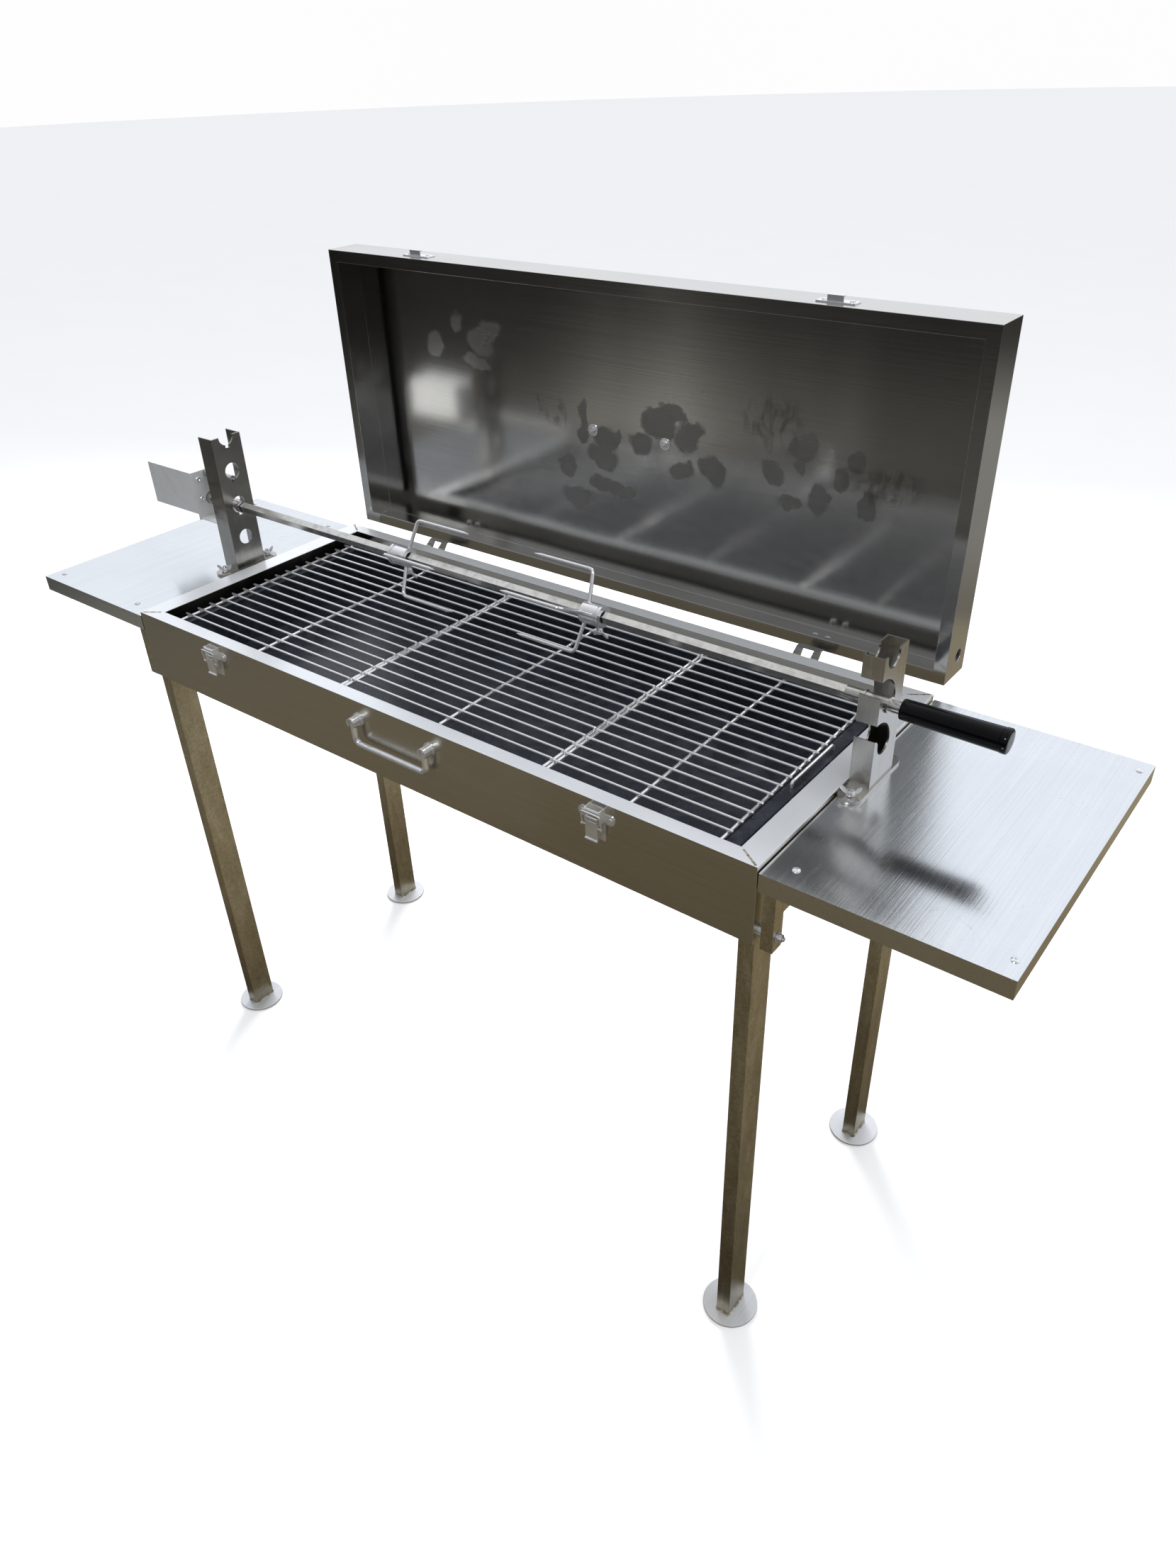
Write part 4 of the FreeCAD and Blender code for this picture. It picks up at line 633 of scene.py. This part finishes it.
def hex_nut(work, at, axis, flats, height, bore, turn=0.0):
    """Hexagon nut with chamfered corners and a countersunk bore."""
    corner = flats * 1.155
    turned(work, [(bore, 0.3), (flats * 0.96, 0), (corner, height * 0.12), (corner, height * 0.86),
                  (flats * 0.97, height), (bore + 0.5, height), (bore, height - 0.5), (bore, 0.3)],
           at, axis, 48, flats, turn)


def washer(work, at, axis, radius, thick, bore):
    """Flat washer with broken edges, seat at the given place."""
    turned(work, [(bore, 0), (radius - 0.2, 0), (radius, 0.2), (radius, thick - 0.25), (radius - 0.3, thick),
                  (bore, thick), (bore, 0)], at, axis, 40)


def make_table_screws():
    work = bmesh.new()
    head = cross_head(4.0, 1.8)
    for low, high in islands("table_screws"):
        middle = (low + high) / 2
        top = Vector((middle.x, middle.y, high.z - 1.8 * MM))
        add_mesh(work, head, Matrix.Translation(top) @ Matrix.Rotation(random.uniform(0, 1.5), 4, "Z"))
        turned(work, [(0, 0.05)] + thread(2.0, 0.1, 11.8, 0.7, 0.25), top, -Z_AXIS, 20)
    make_piece("table_screw_set", work, "hardware", "stand", ("table_screws",))


def make_bracket_bolts():
    work = bmesh.new()
    for low, high in islands("bracket_bolts"):
        side = 1 if low.x > 0 else -1
        middle = (low + high) / 2
        wall = Vector((min(abs(low.x), abs(high.x)) * side, middle.y, middle.z))
        out = X_AXIS * side
        turned(work, [(0, 0), (7, 0), (7, 5.6), (6.6, 6), (0, 6)], wall, out, 36)
        washer(work, wall + out * 20.05 * MM, out, 6, 1.2, 2.6)
        hex_nut(work, wall + out * 21.3 * MM, out, 4.0, 4.4, 2.5, random.uniform(0, 1))
        turned(work, [(0, 6)] + thread(2.5, 6.1, 27.8, 0.8, 0.3), wall, out, 20)
    make_piece("bracket_bolt_set", work, "hardware", "stand", ("bracket_bolts",))


def make_lid_nuts():
    work = bmesh.new()
    for low, high in islands("lid_nuts"):
        middle = (low + high) / 2
        if high.z < 0.9:
            seat = Vector((middle.x, middle.y, low.z))
            hex_nut(work, seat, Z_AXIS, 4.0, 3.4, 2.0, random.uniform(0, 1))
            turned(work, [(0, 0)] + thread(2.0, 0.1, 3.9, 0.7, 0.25), seat, Z_AXIS, 18)
        else:
            seat = Vector((middle.x, high.y, middle.z))
            washer(work, seat, -Y_AXIS, 8, 1.1, 2.6)
            hex_nut(work, seat - Y_AXIS * 1.15 * MM, -Y_AXIS, 4.6, 3.6, 2.5, random.uniform(0, 1))
            turned(work, [(0, 0.1)] + thread(2.5, 0.2, 5.5 + 1.1, 0.8, 0.3), seat, -Y_AXIS, 20)
    make_piece("lid_nut_set", work, "hardware", "lid", ("lid_nuts",))


def make_motor_screws():
    work = bmesh.new()
    head = cross_head(3.6, 2.0)
    for low, high in islands("motor_screws"):
        middle = (low + high) / 2
        seat = Vector((low.x, middle.y, middle.z))
        add_mesh(work, head, Matrix.Translation(seat) @ facing(X_AXIS, random.uniform(0, 1.5)))
    make_piece("motor_screw_set", work, "hardware", "stand", ("motor_screws",))


def make_post_studs():
    work = bmesh.new()
    for low, high in islands("post_studs"):
        middle = (low + high) / 2
        foot = Vector((middle.x, middle.y, low.z))
        length = (high.z - low.z) / MM
        turned(work, [(0, 0)] + thread(2.93, 0.1, length, 0.9, 0.3), foot, Z_AXIS, 22)
        nut_top = Vector((middle.x, middle.y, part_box("table_left")[1].z - 1.3 * MM))
        hex_nut(work, nut_top - Z_AXIS * 4.8 * MM, Z_AXIS, 5.0, 4.7, 3.0, random.uniform(0, 1))
    make_piece("post_stud_set", work, "zinc", "stand", ("post_studs",))


WING = [(3.4, 0.9), (7.2, 2.6), (10.2, 5.6), (11.6, 9.2), (10.6, 11.0), (8.4, 10.6), (6.2, 7.4), (3.5, 5.4)]


def make_wing_nut(node, turn):
    """Cast wing nut: coned hub on the thread, two raised wings."""
    low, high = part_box(node)
    middle = (low + high) / 2
    seat = Matrix.Translation((middle.x, middle.y, low.z)) @ Matrix.Rotation(math.radians(turn), 4, "Z")
    work = bmesh.new()
    bore = 3.15
    hub = [(bore, 0), (4.9, 0), (5.2, 0.4), (4.7, 3.0), (4.1, 5.6), (3.8, 6.0), (3.5, 6.0), (bore, 5.5),
           (bore, 0)]
    turned(work, hub, seat.translation, Z_AXIS, 36)
    for flip in (0, 180):
        plate(work, WING, 1.6, seat @ Matrix.Rotation(math.radians(flip), 4, "Z"), 0.7)
    make_piece(node + "_cast", work, "hardware", BODY_OF[node], (node,), sharp=60)


def make_clamp_screw(side):
    """Wing screw of a fork: threaded shank up into the hub, ribbed neck and two wings."""
    node = "fork_screw_" + side
    low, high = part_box(node)
    spit = (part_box("spit_handle")[0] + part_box("spit_handle")[1]) / 2
    tilt = Matrix.Rotation(math.radians(20), 4, "X")
    axis = Vector(((low.x + high.x) / 2, spit.y, spit.z))
    place = Matrix.Translation(axis) @ tilt
    down = tilt.to_3x3() @ -Z_AXIS
    work = bmesh.new()
    turned(work, [(0, 5.4), (2.6, 5.6)] + thread(3.0, 6.0, 27.0, 0.9, 0.3), axis, down, 22)
    neck = [(0, 23.6), (4.2, 23.6), (4.6, 24.2), (4.6, 25.4), (4.0, 26.0), (4.6, 26.6), (4.4, 29.4), (3.6, 30),
            (0, 30)]
    turned(work, neck, axis, down, 32)
    wings = [(2.0, -27.5), (7.4, -28.4), (11.0, -31.6), (12.0, -34.4), (10.4, -37), (8.0, -36.8), (5.4, -32.6),
             (2, -30)]
    for flip in (0, 180):
        plate(work, wings, 1.8, place @ Matrix.Rotation(math.radians(flip), 4, "Z"), 0.75)
    make_piece(node + "_cast", work, "hardware", BODY_OF[node], (node,), sharp=60)


make_table_screws()
make_bracket_bolts()
make_lid_nuts()
make_motor_screws()
make_post_studs()
for corner, turn in (("left_front", 35), ("left_back", 80), ("right_front", 20), ("right_back", 90)):
    make_wing_nut("wing_nut_" + corner, turn)
for side in ("left", "right"):
    make_clamp_screw(side)


# ---------------------------------------------------------------- spit handle
def make_spit_handle():
    """Turned black handle with an end band and a domed end."""
    low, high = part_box("spit_handle")
    middle = (low + high) / 2
    length = (high.x - low.x) / MM
    small, big = 11.0, (high.z - low.z) / 2 / MM
    profile = [(6.5, 12), (6.5, 0), (small - 1.2, 0), (small - 0.35, 0.35), (small, 1.4)]
    steps = 10
    for k in range(1, steps + 1):
        t = k / steps
        profile.append((small + (big - 0.5 - small) * t, 1.4 + (length - 9.4) * t))
    end_band = [(big - 0.9, 7.6), (big - 0.9, 7.1), (big - 0.15, 6.7), (big, 6.2), (big, 2.0),
                (big - 0.35, 1.0), (big - 1.2, 0.35), (big - 2.6, 0), (3.0, 0.3), (0, 0.35)]
    profile += [(radius, length - back) for radius, back in end_band]
    work = bmesh.new()
    turned(work, profile, Vector((low.x, middle.y, middle.z)), X_AXIS, 64)
    make_piece("spit_handle_turned", work, "grip", BODY_OF["spit_handle"], ("spit_handle",), sharp=40)


make_spit_handle()


# ---------------------------------------------------------------- grill panels
def make_grill(node, crosses):
    """Long wires on cross wires, spot-welded at each crossing; crosses = mm from the panel's left end."""
    low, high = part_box(node)
    rod, cross, over, rows = 1.75, 2.2, 15.0, 16
    top, under = high.z - rod * MM, low.z + cross * MM
    first, last = low.y + over * MM, high.y - over * MM
    lines = [first + (last - first) * i / (rows - 1) for i in range(rows)]
    work = bmesh.new()
    for y in lines:
        wire(work, Vector((low.x, y, top)), Vector((high.x, y, top)), rod)
    for x in crosses:
        wire(work, Vector((low.x + x * MM, low.y, under)), Vector((low.x + x * MM, high.y, under)), cross)
        for y in lines:
            spot = Matrix.Translation((low.x + x * MM, y, (top + under) / 2 + 0.2 * MM))
            size = Matrix.Diagonal((2.3 * MM, 2.1 * MM, 1.9 * MM, 1))
            bmesh.ops.create_icosphere(work, subdivisions=2, radius=1.0, matrix=spot @ size)
    make_piece(node + "_wires", work, "chrome", BODY_OF[node], (node,), sharp=60)


make_grill("grill_left", (5, 177, 341))
make_grill("grill_mid", (2.2, 167.2, 327.2))
make_grill("grill_right", (2.2, 117.2, 229.2))


# ---------------------------------------------------------------- welds
def make_corner_welds():
    """Short weld runs along the mitres of the firebox rim and of the lid flange."""
    low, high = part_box("firebox")
    lid_low, lid_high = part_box("lid_shell")
    rim, lid = bmesh.new(), bmesh.new()
    for x, step_x in ((low.x, 1), (high.x, -1)):
        for y, step_y in ((low.y, 1), (high.y, -1)):
            corner = Vector((x, y, high.z - 0.1 * MM))
            run = Vector((26 * step_x, 17 * step_y, 0)) * MM
            bead(rim, corner + run * 0.12, corner + run, 1.5, 12, 0.4)
        for z, step_z in ((lid_low.z, 1), (lid_high.z, -1)):
            corner = Vector((x, lid_low.y + 0.6 * MM, z))
            run = Vector((14 * step_x, 0, 14 * step_z)) * MM
            bead(lid, corner + run * 0.15, corner + run, 1.0, 9, 0.5, -Y_AXIS)
    make_piece("rim_corner_welds", rim, "weld", "stand")
    make_piece("lid_corner_welds", lid, "weld", "lid")


def make_leg_welds():
    """Weld beads between each leg and its foot plate."""
    for corner in ("front_left", "front_right", "back_left", "back_right"):
        low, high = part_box("leg_" + corner)
        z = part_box("foot_" + corner)[1].z + 0.2 * MM
        work = bmesh.new()
        corners = [Vector((low.x, low.y, z)), Vector((high.x, low.y, z)), Vector((high.x, high.y, z)),
                   Vector((low.x, high.y, z))]
        for a, b in zip(corners, corners[1:] + corners[:1]):
            run = b - a
            count = int(run.length / (1.6 * MM))
            bead(work, a + run * 0.04, b - run * 0.04, 1.9, count, 0.75)
        make_piece("leg_weld_" + corner, work, "weld", "stand")


make_corner_welds()
make_leg_welds()


# ---------------------------------------------------------------- studio
def emitter(name, place, target, size, energy, colour=(1, 1, 1), glossy=True):
    """Rectangular lamp aimed at a target; glossy = whether the metal mirrors it."""
    data = bpy.data.lights.new(name, "AREA")
    data.shape = "RECTANGLE"
    data.size, data.size_y = size
    data.energy, data.color = energy, colour
    lamp = bpy.data.objects.new(name, data)
    lamp.location = place
    lamp.rotation_euler = (Vector(target) - Vector(place)).to_track_quat("-Z", "Y").to_euler()
    lamp.visible_camera = False
    lamp.visible_glossy = glossy
    bpy.context.scene.collection.objects.link(lamp)


def make_backdrop():
    """White floor that catches contact shadows, and a white surround seen only by the camera."""
    bpy.ops.mesh.primitive_plane_add(size=60, location=(0, 0, -0.0005))
    floor = bpy.context.object
    floor.name = "floor"
    material, n, s = new_material("floor_paper")
    n.put(s["Base Color"], n.mix(n.noise(n.coords(), 3.0, 3.0, 0.5), rgb(244, 244, 244), rgb(248, 248, 248)))
    s["Roughness"].default_value = 0.9
    s["Specular IOR Level"].default_value = 0.0
    s["Emission Color"].default_value = (1, 1, 1, 1)
    s["Emission Strength"].default_value = 0.2
    floor.data.materials.append(material)
    bpy.ops.mesh.primitive_uv_sphere_add(segments=48, ring_count=24, radius=29, location=(0, 0, 0))
    dome = bpy.context.object
    dome.name = "surround"
    material, n, s = new_material("surround_paper")
    cloud = n.noise(n.coords(), 0.05, 1.0, 0.5)
    n.put(s["Emission Color"], n.mix(cloud, rgb(252, 252, 252), rgb(255, 255, 255)))
    s["Emission Strength"].default_value = 1.0
    s["Base Color"].default_value = (0, 0, 0, 1)
    s["Specular IOR Level"].default_value = 0.0
    dome.data.materials.append(material)
    for obj in (floor, dome):
        obj.visible_glossy = obj.visible_diffuse = obj.visible_transmission = False
    dome.visible_shadow = False


def make_world():
    """Soft bluish sky, dimmer in front, above a warm grey ground, lighter to the right and the back."""
    world = bpy.data.worlds.new("studio")
    bpy.context.scene.world = world
    world.use_nodes = True
    n = Nodes(world.node_tree)
    direction = n.add("ShaderNodeTexCoord").outputs["Generated"]
    parts = n.add("ShaderNodeSeparateXYZ", {0: direction}).outputs
    level = n.math("ADD", n.math("MULTIPLY", parts["Z"], 0.5), 0.5)
    ground = n.ramp(level, [(0.0, rgb(60, 56, 46)), (0.08, rgb(84, 78, 63)), (0.19, rgb(102, 91, 71)),
                            (0.23, rgb(122, 112, 91)), (0.285, rgb(120, 113, 97)), (0.32, rgb(160, 158, 152)),
                            (0.362, rgb(162, 160, 154)), (0.392, rgb(66, 65, 62)), (0.455, rgb(58, 57, 56)),
                            (0.5, rgb(120, 119, 117))])
    sky = n.ramp(level, [(0.5, rgb(120, 119, 117)), (0.57, rgb(244, 246, 250)), (0.8, rgb(244, 248, 255)),
                         (1.0, rgb(255, 255, 255))])
    across = n.ramp(n.math("MULTIPLY", parts["X"], -1.0), [
        (0.28, 0.30), (0.395, 0.34), (0.415, 0.62), (0.435, 0.36), (0.51, 0.8), (0.552, 1.5), (0.585, 0.9),
        (0.62, 0.50), (0.70, 0.50), (0.76, 0.25)])
    front = n.math("MULTIPLY", n.math("LESS_THAN", parts["Y"], -0.1), n.math("GREATER_THAN", level, 0.31))
    across = n.math("ADD", n.math("MULTIPLY", front, across), n.math("SUBTRACT", 1.0, front))
    sideways = n.math("ADD", parts["X"], n.math("MULTIPLY", parts["Y"], 0.3))
    side = n.add("ShaderNodeMapRange", {"Value": sideways, "From Min": -0.6, "From Max": 0.6,
                                        "To Min": 0.92, "To Max": 1.8}).outputs[0]
    low = n.math("LESS_THAN", level, 0.29)
    rest = n.math("MULTIPLY", n.math("SUBTRACT", 1.0, low), 0.85)
    side = n.math("ADD", n.math("MULTIPLY", low, side), rest)
    gain = n.add("ShaderNodeMapRange", {"Value": parts["Y"], "From Min": -0.75, "From Max": 0.3,
                                        "To Min": 0.34, "To Max": 1.12}).outputs[0]
    high = n.add("ShaderNodeMapRange", {"Value": parts["Z"], "From Min": 0.7, "From Max": 1.0,
                                        "To Min": 0.0, "To Max": -0.25}).outputs[0]
    above = n.math("GREATER_THAN", parts["Z"], 0.0)
    strength = n.math("ADD", n.math("MULTIPLY", above, n.math("ADD", gain, high)),
                      n.math("MULTIPLY", n.math("SUBTRACT", 1.0, above), n.math("MULTIPLY", side, across)))
    shade = n.add("ShaderNodeBackground", {"Color": n.mix(above, ground, sky), "Strength": strength})
    n.put(n.add("ShaderNodeOutputWorld").inputs["Surface"], shade.outputs[0])


make_backdrop()
make_world()
emitter("overhead", (0.4, 0.3, 3.6), (0, 0, 0.7), (2.6, 2.0), 30, glossy=False)
emitter("front_high", (0.5, -3.0, 3.5), (0, 0, 0.8), (0.7, 0.7), 30)
emitter("behind", (-1.5, 1.9, 1.7), (-0.63, -0.02, 0.85), (0.9, 0.9), 60, (1.0, 0.98, 0.95), glossy=False)
bpy.context.scene.view_settings.view_transform = "Standard"
